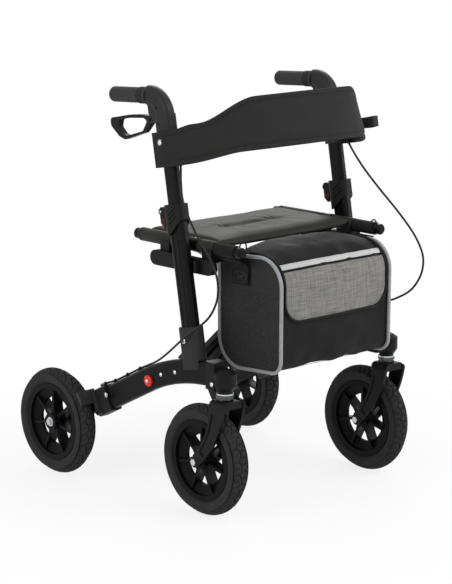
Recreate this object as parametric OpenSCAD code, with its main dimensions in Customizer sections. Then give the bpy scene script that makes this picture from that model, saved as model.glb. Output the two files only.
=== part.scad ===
// All terrain rollator: two arched side frames on big wheels, a folding cross brace,
// a sling seat with a bag in front of it, height-set handles with loop brakes and a backrest strip.
// Millimetres. +X points forward, +Y to the walker's left, +Z up. The floor is at z = 0.

/* [Wheels] */
// Outer radius of every tyre
tyre_r = 127; // [122:1:130]
// Width of a tyre
tyre_w = 49; // [45:1:51]
// Height of a tyre above the rim's flanges
tyre_wall_h = 35; // [29:1:38]
// Width of the rim
rim_w = 38; // [34:1:41]
// Thickness of the rim's barrel
rim_wall = 6; // [4:0.5:8]
// Spokes in each rim
spoke_count = 7; // [5:1:9]
// Thickness of a spoke's blade
spoke_t = 6; // [4:0.5:9]
// Radius of the hub
hub_r = 20; // [17:1:24]
// Width of the hub
hub_w = 46; // [42:1:48]
// Radius of the wheel bearings
bearing_r = 11; // [9:0.5:13]
// Radius of the axle bolts
axle_r = 4; // [3:0.5:5]

/* [Side frames] */
// Distance between the rear and front axles
wheelbase = 480; // [465:1:495]
// How far the middle of the axles lies behind the origin
axle_shift = 15; // [10:1:20]
// Distance from the middle to a rear wheel's own middle
rear_track = 300; // [298:1:315]
// Clear space between a rear tyre and the frame's rear arm
rear_gap = 7.5; // [6:0.5:12]
// Distance from a caster's swivel axis back to its axle
trail = 64; // [56:1:70]
// Height of the arched beam
beam_h = 56; // [50:1:60]
// Thickness of the arched beam
beam_t = 24; // [20:1:26]
// Slope of the beam's straight half
beam_slope = 27; // [26:0.5:28]
// Level length of the beam between its arch and the caster head
level_l = 8.6; // [4:0.2:14]
// Wall of the frame's tubes
wall = 2.5; // [2:0.1:3.5]

/* [Rear arm and brake] */
// Height of the rear arm's tube
arm_h = 34; // [28:1:40]
// Thickness of the rear arm's tube
arm_t = 20; // [16:1:22]
// How far inside the rear tyre's radius the brake housing starts
housing_in = 3; // [-3:0.5:5]
// Length of the brake housing
housing_l = 52; // [46:1:60]
// Clear space between a released brake shoe and the tyre
shoe_gap = 3.2; // [3:0.1:5]
// Thickness of the brake shoe
shoe_t = 8; // [6:0.5:12]

/* [Casters] */
// Radius of the caster head
head_r = 26; // [22:1:30]
// Radius of the swivel stem
stem_r = 6; // [5:0.5:8]
// Thickness of a fork leg
leg_t = 7; // [5:0.5:9]
// Width of a fork leg at the crown
leg_top_w = 42; // [36:1:48]
// Width of a fork leg at the axle
leg_low_w = 26; // [24:1:32]
// Height of the fork's crown
crown_h = 17; // [12:1:20]
// Clear space between a caster's tyre and its fork's crown
fork_gap = 4.8; // [3:0.2:10]

/* [Uprights] */
// Distance from a caster's swivel axis back to the upright's foot
upright_back = 94.5; // [89:0.5:101]
// Backward lean of the uprights
lean = 10; // [8:0.5:12]
// Depth of the upright's outer tube
upright_w = 45; // [42:1:48]
// Thickness of the upright's outer tube
upright_t = 26; // [25:1:30]
// Depth of the sliding inner tube
inner_w = 39; // [36:1:39]
// Thickness of the sliding inner tube
inner_t = 20; // [16:1:20]
// Length from the beam's middle to the clamp's top
clamp_top = 374; // [360:1:385]
// Height of the clamp collar
clamp_h = 52; // [44:1:60]
// Length of the flip lever on the clamp
flip_l = 37; // [33:1:42]

/* [Handles] */
// Length of inner tube that shows between clamp and handle
handle_gap = 87; // [80:1:100]
// Depth of the handle's sleeve
sleeve_w = 50; // [46:1:56]
// Thickness of the handle's sleeve
sleeve_t = 34; // [30:1:36]
// Length of the handle's straight sleeve
sleeve_l = 108; // [104:1:115]
// Radius of the handle's bend along its middle
bend_r = 49; // [46:1:54]
// Downward slope of the grip towards its end
grip_slope = 3; // [0:0.5:6]
// Radius of the grip
grip_r = 17.5; // [15:0.5:19]
// Length of the grip
grip_l = 126; // [115:1:140]
// Thickness of the brake lever
lever_t = 14; // [10:1:16]
// Reach of the brake lever behind its pivot
lever_l = 140; // [125:1:150]
// Depth of the brake lever's loop below its pivot
lever_drop = 50; // [44:1:56]

/* [Seat and brace] */
// Height of the seat rails' axes
seat_z = 598; // [590:1:606]
// Distance from a side frame's middle in to a seat rail
rail_in = 39; // [38:1:46]
// Radius of a seat rail
rail_r = 12.5; // [11:0.5:13]
// Reach of the seat rails behind the cross brace
rail_behind = 196; // [190:1:210]
// Reach of the seat rails ahead of the cross brace
rail_ahead = 153; // [142:1:166]
// Reach of the seat pad behind the cross brace
pad_behind = 181; // [170:1:185]
// Reach of the seat pad ahead of the cross brace
pad_ahead = 71; // [61:1:86]
// Thickness of the seat pad at its edge
pad_t = 14.5; // [12:0.5:14.5]
// Rise of the seat pad's crown above its edge
pad_crown = 4; // [2:0.5:6]
// Height of the seat support bars
support_h = 34; // [28:1:38]
// Thickness of the seat support bars
support_t = 15; // [10:1:16]
// Distance from the upright's foot back to the cross brace
brace_back = 45.5; // [43.5:0.5:47.5]
// Depth of a brace bar
brace_w = 26; // [22:1:30]
// Thickness of a brace bar
brace_t = 16; // [12:1:16]
// Radius of the brace's pivot pins
pin_r = 5; // [4:0.5:6]

/* [Bag] */
// Distance from the cross brace to the bag's rear face
bag_ahead = 26; // [25:1:33]
// Depth of the bag with its pocket
bag_depth = 207; // [195:1:215]
// Distance from a seat rail in to the bag's side
bag_in = 44; // [39:1:59]
// Bottom of the bag
bag_low = 320; // [312:1:335]
// Top of the bag
bag_top = 592; // [575:1:593]
// Wall of the bag
bag_wall = 4; // [3:0.5:5]
// Bulge of the pocket on the bag's front
pocket_t = 8; // [5:1:12]

/* [Backrest] */
// Forward reach of the backrest's arch
band_reach = 190; // [180:1:205]
// Thickness of the backrest strip
band_t = 14; // [10:1:16]
// Height of the backrest's ends
band_end_h = 78; // [72:1:84]
// Height of the backrest's middle above the foot of its ends
band_mid_h = 131; // [118:1:136]

/* [Cables] */
// Radius of a brake cable's sheath
cable_r = 2.5; // [2:0.1:3]

/* [Fits] */
// Radial clearance of a pin or shaft that turns
run_fit = 0.05; // [0.02:0.01:0.1]
// Clearance of a piece in its seat
seat_gap = 0.3; // [0.2:0.05:0.5]

/* [Hidden] */
$fn = 64;
frame_black = "#141517";
moulded_grey = "#26282a";
soft_black = "#1d1e1f";
rubber_grey = "#2b2c2d";
bright_zinc = "#c3c6c8";
shoe_grey = "#6b6e70";
signal_red = "#d01515";
bag_grey = "#3a3c3e";

// Frame: the beam climbs from the rear axle, then arches over to a level end at the caster
rear_x = -wheelbase / 2 - axle_shift;
front_x = wheelbase / 2 - axle_shift;
stem_x = front_x + trail;
frame_y = rear_track - tyre_w / 2 - rear_gap - arm_t / 2;
rim_r = tyre_r - tyre_wall_h;
housing_start = tyre_r - housing_in;
head_drop = 30;
head_boss = 4;
washer_t = 3;
collar_h = 13;
stack_h = crown_h + collar_h + washer_t + seat_gap + head_boss + head_drop;
crest_z = 2 * tyre_r + fork_gap + stack_h;
arc_x = stem_x - head_r - level_l;
beam_run = (crest_z - tyre_r) / tan(beam_slope / 2) - (arc_x - rear_x);
arc_start_x = rear_x + beam_run * cos(beam_slope);
arc_start_z = tyre_r + beam_run * sin(beam_slope);
beam_arc_r = (arc_x - arc_start_x) / sin(beam_slope);
arc_z = crest_z - beam_arc_r;
beam_round = 9;
tube_step = 0.25;
beam_start = housing_start + 18;
beam_end = stem_x - stem_r - 12;
beam_face = frame_y + beam_t / 2;
function arch_z(x) = arc_z + sqrt(pow(beam_arc_r, 2) - pow(x - arc_x, 2));
function slope_z(x) = tyre_r + (x - rear_x) * tan(beam_slope);
function beam_z(x) = x < arc_start_x ? slope_z(x) : x < arc_x ? arch_z(x) : crest_z;

// Upright: distances along its axis start at the beam's middle
upright_x = stem_x - upright_back;
foot_z = beam_z(upright_x);
tube_low = beam_h / 2 + 6;
tube_top = clamp_top - 8;
socket_low = 6;
socket_top = 101;
socket_w = upright_w + 13;
socket_t = upright_t + 12;
cheek_in = frame_y - socket_t / 2;
cheek_out = frame_y - beam_t / 2 - seat_gap;
clamp_w = upright_w + 10;
clamp_t = max(upright_t + 12, 34);
tube_round = 10;
inner_round = 8;
function upright_at(z) = upright_x - (z - foot_z) * tan(lean);
function arch_at(share) = arc_start_x + (upright_x - arc_start_x) * share;
reflector_x = arch_at(0.359) - 42;

// Handle: the sleeve, then a bend, then the grip
sleeve_low = clamp_top + handle_gap;
bend_s = sleeve_low + sleeve_l;
bend_angle = 90 - lean + grip_slope;
inner_low = clamp_top - 125;
inner_top = bend_s - 9;
core_r = 11;
lever_pin_r = 4;
lever_eye_r = 8;
lever_x = -bend_r + 9;
lever_s = bend_s - 4;

// Caster stack, from the head downwards
head_low = crest_z - head_drop;
head_h = 40;
head_foot = 12;
washer_z = head_low - head_boss - seat_gap - washer_t;
crown_top = washer_z - collar_h;
crown_low = crown_top - crown_h;
leg_in = tyre_w / 2 + 2.5;
leg_out = leg_in + leg_t;
shoulder_r = 22;

// Tyre and rim
flange_t = 3.5;
bead_r = rim_r - 6;
rim_in = bead_r - rim_wall;
dish_r = hub_r + (rim_in - hub_r) * 0.63;
tyre_h = tyre_r - bead_r - seat_gap;
tyre_wall = 7;

// Brake arm, measured round the rear axle
shoe_from = 28;
shoe_to = 42;
arm_pivot_a = 18;
arm_pivot_r = tyre_r + shoe_gap + 8.5;
arm_face = frame_y + arm_t / 2 + 7;
brake_pin_r = 4;

// Cross brace, with the seat and the bag placed from it
brace_x = upright_x - brace_back;
rail_y = frame_y - rail_in;
rail_back = brace_x - rail_behind;
rail_front = brace_x + rail_ahead;
pad_back = brace_x - pad_behind;
pad_front = brace_x + pad_ahead;
bag_back = brace_x + bag_ahead;
bag_front = bag_back + bag_depth;
bag_half = rail_y - bag_in;
pivot_z = foot_z - 2.4;
brace_mid_z = (pivot_z + seat_z) / 2;
bar_gap = 2;
eye_low_r = pin_r + 10;
eye_top_r = rail_r + 4;
ear_t = 5;
front_bar_x = brace_x + bar_gap / 2;
rear_bar_x = brace_x - bar_gap / 2 - brace_t;

// Seat support
support_top = seat_z - rail_r - 11.5;
support_mid = support_top - support_h / 2;
support_y = frame_y - upright_t / 2;
cup_w = 30;
cup_x = [brace_x - 99, brace_x + 41];

// Cable routes, chosen by hand from the upright's foot; the last two points are heights above the beam
right_route = [
    [-44.5, 4, 467.5], [-36.5, 10, 447.5], [-24.5, 20, 419.5], [-7.5, 28, 379.5], [34.5, 32, 321.5],
    [77.5, 32, 275.5], [101.5, 32, 237.5], [107.5, 32, 205.5], [100.5, 32, 173.5], [77.5, 32, 139.5],
    [41.5, 32, 111.5], [-0.5, 31, 83.5], [-44.5, 26, 31], [-84.5, 16, 15.4]
];
left_route = [
    [-44.5, 4, 467.5], [-34.5, 8, 445.5], [-8.5, 20, 403.5], [33.5, 28, 359.5], [97.5, 32, 305.5],
    [143.5, 32, 263.5], [169.5, 32, 227.5], [176.5, 32, 197.5], [167.5, 32, 163.5],
    [139.5, 32, 127.5], [95.5, 32, 101.5], [41.5, 32, 79.5], [-14.5, 29, 29.5], [-74.5, 17, 16.5]
];
cable_lie = beam_h / 2 + cable_r + seat_gap;
cable_end = housing_start + 42;

// Plain shapes
module rounded(w, h, r) {
    if (r > 0) {
        square([w - 2 * r, h], center = true);
        square([w, h - 2 * r], center = true);
        for (x = [-1, 1], y = [-1, 1])
            translate([x * (w / 2 - r), y * (h / 2 - r)])
                circle(r);
    } else {
        square([w, h], center = true);
    }
}

module stroke(p, q, w) {
    run = q - p;
    translate(p)
        rotate(atan2(run[1], run[0]))
            translate([0, -w / 2])
                square([norm(run), w]);
    translate(p)
        circle(w / 2);
    translate(q)
        circle(w / 2);
}

module sided(side) {
    if (side > 0)
        children();
    else
        mirror([0, 1, 0])
            children();
}

function unit(v) = v / norm(v);

// A corner of an outline turned into an arc of a few points
function corner_arc(p, i, r, steps) =
    let (
        n = len(p),
        back = p[(i + n - 1) % n] - p[i],
        ahead = p[(i + 1) % n] - p[i],
        u = unit(back),
        v = unit(ahead),
        half = acos(u * v) / 2,
        reach = min(r / tan(half), norm(back) * 0.45, norm(ahead) * 0.45),
        radius = reach * tan(half),
        hub = p[i] + unit(u + v) * radius / sin(half)
    )
    [
        for (k = [0:steps])
            let (t = k / steps)
            hub + radius * unit((p[i] + u * reach - hub) * (1 - t) + (p[i] + v * reach - hub) * t)
    ];
function softened(p, r, steps = 4) = [for (i = [0:len(p) - 1]) each corner_arc(p, i, r, steps)];

// Frames of reference, all on the left side
module along_beam() {
    translate([rear_x, frame_y, tyre_r])
        rotate([0, -beam_slope, 0])
            children();
}

module on_upright() {
    translate([upright_x, frame_y, foot_z])
        rotate([0, -lean, 0])
            children();
}

module on_grip() {
    on_upright()
        translate([-bend_r, 0, bend_s])
            rotate([0, -bend_angle, 0])
                translate([bend_r, 0, 0])
                    children();
}

module upright_prism(from, to) {
    on_upright()
        translate([0, 0, from])
            linear_extrude(to - from)
                children();
}

module slab_xz(y_low, y_high) {
    translate([0, y_high, 0])
        rotate([90, 0, 0])
            linear_extrude(y_high - y_low)
                children();
}

module slab_yz(x_low, x_high) {
    translate([x_low, 0, 0])
        rotate([90, 0, 90])
            linear_extrude(x_high - x_low)
                children();
}

module cross_pin(x, z, r, y_low, y_high) {
    translate([x, y_low, z])
        rotate([-90, 0, 0])
            cylinder(r = r, h = y_high - y_low);
}

module long_pin(y, z, r, x_low, x_high) {
    translate([x_low, y, z])
        rotate([0, 90, 0])
            cylinder(r = r, h = x_high - x_low);
}

// Side frame: three lengths of tube, stepped by a hair where one is let into the next
module beam_straight(grow) {
    along_beam()
        translate([beam_start - (grow < 0 ? 1 : 0), 0, 0])
            rotate([0, 90, 0])
                linear_extrude(beam_run - beam_start + 3)
                    rounded(beam_h + 2 * grow, beam_t + 2 * grow, beam_round + grow);
}

module beam_arch(grow, corner) {
    translate([arc_x, frame_y, arc_z])
        rotate([90, 0, 0])
            rotate([0, 0, 90])
                rotate_extrude(angle = beam_slope, $fn = 180)
                    translate([beam_arc_r, 0])
                        rounded(beam_h + 2 * grow, beam_t + 2 * grow, corner);
}

module beam_level(grow) {
    translate([arc_x - 3, frame_y, crest_z])
        rotate([0, 90, 0])
            linear_extrude(beam_end - arc_x + (grow < -wall ? 4 : 3))
                rounded(beam_h + 2 * grow, beam_t + 2 * grow, beam_round + grow);
}

module beam() {
    color(frame_black)
        difference() {
            union() {
                beam_straight(tube_step);
                beam_arch(0, beam_round);
                beam_level(-tube_step);
            }
            beam_straight(-wall - tube_step);
            beam_arch(-wall, beam_round - wall);
            beam_level(-wall - tube_step);
        }
}

module rear_arm() {
    boss_r = arm_h / 2 + 2;
    color(frame_black)
        difference() {
            union() {
                along_beam()
                    rotate([0, 90, 0])
                        linear_extrude(beam_start - 2)
                            difference() {
                                rounded(arm_h, arm_t, 7);
                                rounded(arm_h - 2 * wall, arm_t - 2 * wall, 7 - wall);
                            }
                cross_pin(rear_x, tyre_r, boss_r, frame_y - arm_t / 2 - 1, rear_track - hub_w / 2 - 2);
            }
            cross_pin(rear_x, tyre_r, axle_r + 0.2, frame_y - arm_t, rear_track);
        }
}

module brake_housing() {
    housing_h = beam_h + 8;
    slack = tube_step + seat_gap;
    housing_t = 2 * (arm_face - frame_y);
    pivot = [rear_x + arm_pivot_r * cos(arm_pivot_a), tyre_r + arm_pivot_r * sin(arm_pivot_a)];
    color(moulded_grey)
        union() {
            difference() {
                along_beam()
                    translate([housing_start, 0, 0])
                        rotate([0, 90, 0])
                            linear_extrude(housing_l)
                                rounded(housing_h, housing_t, 7);
                along_beam()
                    translate([beam_start - seat_gap, 0, 0])
                        rotate([0, 90, 0])
                            linear_extrude(housing_l)
                                rounded(beam_h + 2 * slack, beam_t + 2 * slack, beam_round);
                along_beam()
                    translate([housing_start - 1, 0, 0])
                        rotate([0, 90, 0])
                            linear_extrude(housing_l / 2)
                                rounded(arm_h + 2 * seat_gap, arm_t + 2 * seat_gap, 7);
            }
            cross_pin(pivot[0], pivot[1], brake_pin_r, arm_face - 4, arm_face + 13);
        }
}

module brake_arm() {
    eye = [arm_pivot_r * cos(arm_pivot_a), arm_pivot_r * sin(arm_pivot_a)];
    color(shoe_grey)
        difference() {
            translate([rear_x, 0, tyre_r])
                union() {
                    translate([0, arm_face + 9, 0])
                        rotate([90, 0, 0])
                            rotate([0, 0, arm_pivot_a])
                                rotate_extrude(angle = shoe_to - 1 - arm_pivot_a, $fn = 128)
                                    translate([tyre_r + shoe_gap + 1, 0])
                                        square([shoe_t + 5, 8]);
                    translate([0, rear_track + tyre_w / 2 - 3, 0])
                        rotate([90, 0, 0])
                            rotate([0, 0, shoe_from])
                                rotate_extrude(angle = shoe_to - shoe_from, $fn = 128)
                                    translate([tyre_r + shoe_gap, 0])
                                        square([shoe_t, rear_track + tyre_w / 2 - 6 - arm_face]);
                    cross_pin(eye[0], eye[1], 8, arm_face + 0.6, arm_face + 9.4);
                }
            translate([rear_x, 0, tyre_r])
                cross_pin(eye[0], eye[1], brake_pin_r + run_fit, arm_face, arm_face + 20);
        }
}

module upright() {
    groove = 1;
    color(frame_black)
        upright_prism(tube_low, tube_top)
            difference() {
                rounded(upright_w, upright_t, tube_round);
                rounded(inner_w + 1, inner_t + 1, inner_round);
                for (x = [-1, 1], y = [-1, 1])
                    translate([x * upright_w / 6, y * upright_t / 2])
                        square([2 * groove, 2 * groove], center = true);
            }
}

module brace_ears(bar_x) {
    for (x = [bar_x - ear_t - seat_gap, bar_x + brace_t + seat_gap])
        slab_yz(x, x + ear_t) {
            translate([rail_y, pivot_z])
                circle(eye_low_r - 2);
            translate([rail_y, pivot_z - eye_low_r + 2])
                square([cheek_in - rail_y + 1, 2 * (eye_low_r - 2)]);
        }
}

module socket(bar_x) {
    cheek_low = bar_x - ear_t - 4;
    color(moulded_grey)
        difference() {
            union() {
                upright_prism(socket_low, socket_top)
                    rounded(socket_w, socket_t, 15);
                slab_xz(frame_y - 9, frame_y + 9)
                    polygon([
                        [upright_x - 8, foot_z + socket_top - 35],
                        [upright_x - 52, foot_z + 24],
                        [upright_x, foot_z + 10]
                    ]);
                translate([cheek_low, cheek_in, pivot_z - 18])
                    cube([upright_x - cheek_low + 22, cheek_out - cheek_in, 40]);
                brace_ears(bar_x);
            }
            beam_arch(seat_gap, 0);
            upright_prism(tube_low - 1, socket_top + 1)
                rounded(upright_w + 2 * seat_gap, upright_t + 2 * seat_gap, tube_round);
            long_pin(rail_y, pivot_z, pin_r + 0.15, bar_x - 20, bar_x + brace_t + 20);
        }
}

module seat_support() {
    back = brace_x - 124;
    front = brace_x + 86;
    mid_z = support_mid;
    cup_in = rail_y - rail_r - 4;
    hook_x = upright_at(mid_z) + upright_w / 2 + 8;
    color(frame_black)
        difference() {
            union() {
                slab_xz(support_y - support_t, support_y)
                    stroke([back + support_h / 2, mid_z], [front - support_h / 2, mid_z], support_h);
                for (x = cup_x)
                    translate([x, cup_in, support_top - 8])
                        cube([cup_w, support_y - support_t + 6 - cup_in, seat_z - support_top + 8]);
                translate([hook_x, support_y - 2, mid_z - 14])
                    cube([9, 13, 28]);
            }
            long_pin(rail_y, seat_z, rail_r + seat_gap, back - 25, front + 25);
        }
}

module reflector() {
    color(signal_red)
        translate([reflector_x, beam_face + tube_step, beam_z(reflector_x) - 5])
            rotate([-90, 0, 0]) {
                cylinder(r = 13, h = 4);
                translate([0, 0, 4])
                    cylinder(r1 = 13, r2 = 10, h = 2);
            }
}

module dome_bolt(r, h) {
    cylinder(r = r, h = h * 0.6);
    translate([0, 0, h * 0.6])
        cylinder(r1 = r, r2 = r * 0.6, h = h * 0.4);
}

module bolts(bar_x) {
    color(bright_zinc) {
        for (x = [arch_at(0.359), arch_at(0.651)])
            translate([x, beam_face, beam_z(x)])
                rotate([-90, 0, 0])
                    dome_bolt(4.5, 3);
        translate([reflector_x, beam_face + tube_step + 6, beam_z(reflector_x) - 5])
            rotate([-90, 0, 0])
                dome_bolt(4, 2.5);
        on_upright()
            translate([-6, socket_t / 2, socket_top - 30])
                rotate([-90, 0, 0])
                    dome_bolt(6, 4);
        translate([stem_x - 14, frame_y + head_r, crest_z - 14])
            rotate([-90, 0, 0])
                dome_bolt(5, 3);
        translate([upright_at(support_mid), support_y - support_t, support_mid])
            rotate([90, 0, 0])
                dome_bolt(6, 3);
        along_beam()
            translate([cable_end - 16, 0, beam_h / 2 + 4])
                translate([0, 0, 4.5])
                    rotate([0, 90, 0])
                        cylinder(r = 4.5, h = 16);
        long_pin(rail_y, pivot_z, pin_r, bar_x - ear_t - 3, bar_x + brace_t + ear_t + 3);
        for (x = [bar_x - ear_t - seat_gap - 4, bar_x + brace_t + ear_t + seat_gap])
            long_pin(rail_y, pivot_z, pin_r + 4, x, x + 4);
    }
}

// Swept cable: rings square to the route
function lane(route, i) = unit(route[min(i + 1, len(route) - 1)] - route[max(i - 1, 0)]);
function ring(c, d, r, n) =
    let (u = unit(cross(d, [0, 1, 0])), v = cross(d, u))
    [for (k = [0:n - 1]) c + r * (cos(360 * k / n) * u + sin(360 * k / n) * v)];

module swept(route, r, n) {
    count = len(route);
    points = [for (i = [0:count - 1]) each ring(route[i], lane(route, i), r, n)];
    sides = [
        for (i = [0:count - 2], k = [0:n - 1])
            let (a = i * n + k, b = i * n + (k + 1) % n)
            each [[a, b, b + n], [a, b + n, a + n]]
    ];
    start = [for (k = [1:n - 2]) [0, k + 1, k]];
    stop = [for (k = [1:n - 2]) let (z = (count - 1) * n) [z, z + k, z + k + 1]];
    polyhedron(points, concat(sides, start, stop), 4);
}

// A smooth curve through the chosen points
function spline(p, i, t) =
    let (
        n = len(p) - 1,
        a = p[max(i - 1, 0)],
        b = p[i],
        c = p[min(i + 1, n)],
        d = p[min(i + 2, n)]
    )
    0.5 * (2 * b + (c - a) * t + (2 * a - 5 * b + 4 * c - d) * t * t + (3 * b - a - 3 * c + d) * t * t * t);

function on_slope(l, n) = [
    rear_x + l * cos(beam_slope) - n * sin(beam_slope),
    frame_y,
    tyre_r + l * sin(beam_slope) + n * cos(beam_slope)
];

function on_arch(a, n) = [
    arc_x - (beam_arc_r + n) * sin(a),
    frame_y,
    arc_z + (beam_arc_r + n) * cos(a)
];

function cable_route(free) =
    let (
        foot = [upright_x, frame_y, foot_z],
        hung = [
            for (i = [0:len(free) - 1])
                let (p = free[i], x = upright_x + p[0])
                i < len(free) - 2 ? foot + p : [x, frame_y + p[1], beam_z(x) + beam_h / 2 + p[2]]
        ],
        last_x = upright_x + free[len(free) - 1][0],
        first_a = asin((arc_x - last_x) / beam_arc_r) + 5,
        over = [for (a = [first_a:5:beam_slope - 2]) on_arch(a, cable_lie + 1)],
        lie = [for (l = [beam_run - 10:-50:cable_end + 40]) on_slope(l, cable_lie + 1)],
        held = [on_slope(cable_end + 20, cable_lie + 3), on_slope(cable_end + seat_gap, beam_h / 2 + 8.5)],
        through = concat(hung, over, lie, held),
        steps = 3
    )
    concat(
        [for (i = [0:len(through) - 2], k = [0:steps - 1]) spline(through, i, k / steps)],
        [through[len(through) - 1]]
    );

module cable(free) {
    color(soft_black)
        swept(cable_route(free), cable_r, 8);
}

// Caster
module caster_head() {
    back = arc_x - 8;
    width = beam_t + 14;
    top = crest_z + beam_h / 2 + 4;
    color(moulded_grey)
        difference() {
            union() {
                translate([stem_x, frame_y, head_low])
                    cylinder(r1 = head_r - 8, r2 = head_r, h = head_foot);
                translate([stem_x, frame_y, head_low + head_foot])
                    cylinder(r = head_r, h = head_h - head_foot);
                translate([stem_x, frame_y, head_low + head_h])
                    cylinder(r1 = head_r, r2 = head_r - 12, h = 8);
                translate([back, frame_y - width / 2, head_low])
                    cube([beam_end + 4 - back, width, top - head_low]);
                translate([stem_x, frame_y, head_low - head_boss])
                    cylinder(r = stem_r + 11, h = head_boss + 1);
                cross_pin(stem_x - 14, crest_z - 14, 9, frame_y, frame_y + head_r);
            }
            translate([back - 1, frame_y, crest_z])
                rotate([0, 90, 0])
                    linear_extrude(beam_end + seat_gap - back + 1)
                        rounded(beam_h + 2 * seat_gap, beam_t + 2 * seat_gap, beam_round);
            translate([stem_x, frame_y, head_low - head_boss - 1])
                cylinder(r = stem_r + run_fit, h = head_h - 2);
        }
}

module caster_stem() {
    color(bright_zinc)
        translate([stem_x, frame_y, 0]) {
            translate([0, 0, crown_low - 2])
                cylinder(r = stem_r, h = head_low + head_h - 12 - crown_low + 2);
            translate([0, 0, washer_z])
                cylinder(r = stem_r + 13, h = washer_t);
        }
}

// Fork leg: a blade along a curve from the crown to the axle
function leg_mid(t) =
    let (a = [stem_x + 10, crown_top - 4], b = [stem_x + 1, tyre_r + 58], c = [front_x, tyre_r])
    (1 - t) * (1 - t) * a + 2 * t * (1 - t) * b + t * t * c;
function leg_side(t) =
    let (d = unit(leg_mid(min(t + 0.01, 1)) - leg_mid(max(t - 0.01, 0))))
    [-d[1], d[0]];
function leg_edge(t, inset) = ((leg_top_w * (1 - t) + leg_low_w * t) / 2 - inset) * leg_side(t);

module leg_blade(inset, from, to) {
    steps = 9;
    ts = [for (k = [0:steps]) from + (to - from) * k / steps];
    polygon(concat(
        [for (t = ts) leg_mid(t) + leg_edge(t, inset)],
        [for (k = [steps:-1:0]) leg_mid(ts[k]) - leg_edge(ts[k], inset)]
    ));
}

module fork_leg() {
    difference() {
        slab_xz(leg_in, leg_out) {
            leg_blade(0, 0, 1);
            translate([front_x, tyre_r])
                circle(leg_low_w / 2);
        }
        slab_xz(leg_out - 2, leg_out + 1)
            leg_blade(6, 0.16, 0.82);
    }
}

module fork() {
    grooves = 3;
    ring_h = collar_h / (2 * grooves - 1);
    color(soft_black)
        difference() {
            translate([0, frame_y, 0])
                union() {
                    intersection() {
                        union() {
                            fork_leg();
                            mirror([0, 1, 0])
                                fork_leg();
                            translate([stem_x + 3, 0, crown_low])
                                linear_extrude(crown_h)
                                    rounded(leg_top_w + 6, 2 * leg_out, 9);
                        }
                        slab_yz(front_x - leg_low_w, stem_x + leg_top_w)
                            translate([0, crown_top + 0.5 - tyre_r])
                                rounded(2 * leg_out + 2, 2 * tyre_r, shoulder_r);
                    }
                    for (k = [0:2 * grooves - 2])
                        translate([stem_x, 0, crown_top + k * ring_h])
                            cylinder(r = stem_r + (k % 2 == 0 ? 11 : 9), h = ring_h);
                }
            translate([stem_x, frame_y, crown_low - 60])
                cylinder(r = stem_r + 0.1, h = 200);
            cross_pin(front_x, tyre_r, axle_r + 0.2, frame_y - 2 * leg_out, frame_y + 2 * leg_out);
        }
}

// Wheel pieces, with the axle along Y through the origin
module turned() {
    rotate([90, 0, 0])
        rotate_extrude($fn = 128)
            children();
}

module tyre() {
    mid_r = tyre_r - tyre_h / 2;
    color(rubber_grey)
        turned()
            difference() {
                translate([mid_r, 0])
                    rounded(tyre_h, tyre_w, 17);
                translate([mid_r + 1, 0])
                    rounded(tyre_h - 2 * tyre_wall, tyre_w - 2 * tyre_wall, 10);
                translate([bead_r - 1, -9])
                    square([tyre_h / 2, 18]);
                for (s = [-1, 1]) {
                    translate([bead_r - 1, s * (rim_w / 2 + 10 - flange_t) - 10 - seat_gap])
                        square([rim_r - bead_r + 1 + seat_gap, 20 + 2 * seat_gap]);
                    translate([tyre_r, s * 8])
                        square([5, 2], center = true);
                }
            }
}

module spoke() {
    root = spoke_t / 2 + 6;
    toe = spoke_t / 2 + 3;
    linear_extrude(rim_w - 10, center = true)
        polygon([
            [hub_r - 3, -root], [hub_r + 6, -spoke_t / 2 - 2], [hub_r + 16, -spoke_t / 2],
            [rim_in - 10, -spoke_t / 2], [rim_in + 1, -toe], [rim_in + 1, toe], [rim_in - 10, spoke_t / 2],
            [hub_r + 16, spoke_t / 2], [hub_r + 6, spoke_t / 2 + 2], [hub_r - 3, root]
        ]);
}

module rim() {
    color(moulded_grey)
        difference() {
            union() {
                turned() {
                    translate([rim_in, -rim_w / 2])
                        square([rim_wall, rim_w]);
                    for (s = [-1, 1])
                        translate([rim_in, s * (rim_w - flange_t) / 2 - flange_t / 2])
                            square([rim_r - rim_in, flange_t]);
                    polygon([[dish_r, -3.5], [rim_in + 1, -11], [rim_in + 1, 11], [dish_r, 3.5]]);
                }
                rotate([90, 0, 0]) {
                    cylinder(r = hub_r, h = hub_w, center = true);
                    for (k = [0:spoke_count - 1])
                        rotate([0, 0, 90 + 360 * k / spoke_count])
                            spoke();
                }
            }
            rotate([90, 0, 0])
                cylinder(r = bearing_r + run_fit, h = hub_w + 2, center = true);
        }
}

module bearings() {
    for (y = [-hub_w / 2, hub_w / 2 - 7])
        cross_pin(0, 0, bearing_r, y, y + 7);
}

module front_axle() {
    color(bright_zinc)
        translate([front_x, frame_y, tyre_r]) {
            cross_pin(0, 0, axle_r, -leg_out - 5, leg_out + 5);
            bearings();
            cross_pin(0, 0, axle_r + 3, -leg_in, leg_in);
            for (y = [-leg_out - 5, leg_out])
                translate([0, y, 0])
                    rotate([-90, 0, 0])
                        cylinder(r = 8, h = 5, $fn = 6);
        }
}

module rear_axle() {
    inner = frame_y - arm_t / 2 - 1 - rear_track;
    color(bright_zinc)
        translate([rear_x, rear_track, tyre_r]) {
            cross_pin(0, 0, axle_r, inner - 5, hub_w / 2 + 6);
            bearings();
            cross_pin(0, 0, axle_r + 3, -hub_w / 2 - 2, hub_w / 2);
            for (y = [inner - 5, hub_w / 2])
                translate([0, y, 0])
                    rotate([-90, 0, 0])
                        cylinder(r = 8, h = 5, $fn = 6);
        }
}

// Height clamp
flip_x = -clamp_w / 2 - 14;
flip_s = clamp_top - 14;
flip_pin_r = 3;
flip_t = 14;

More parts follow.
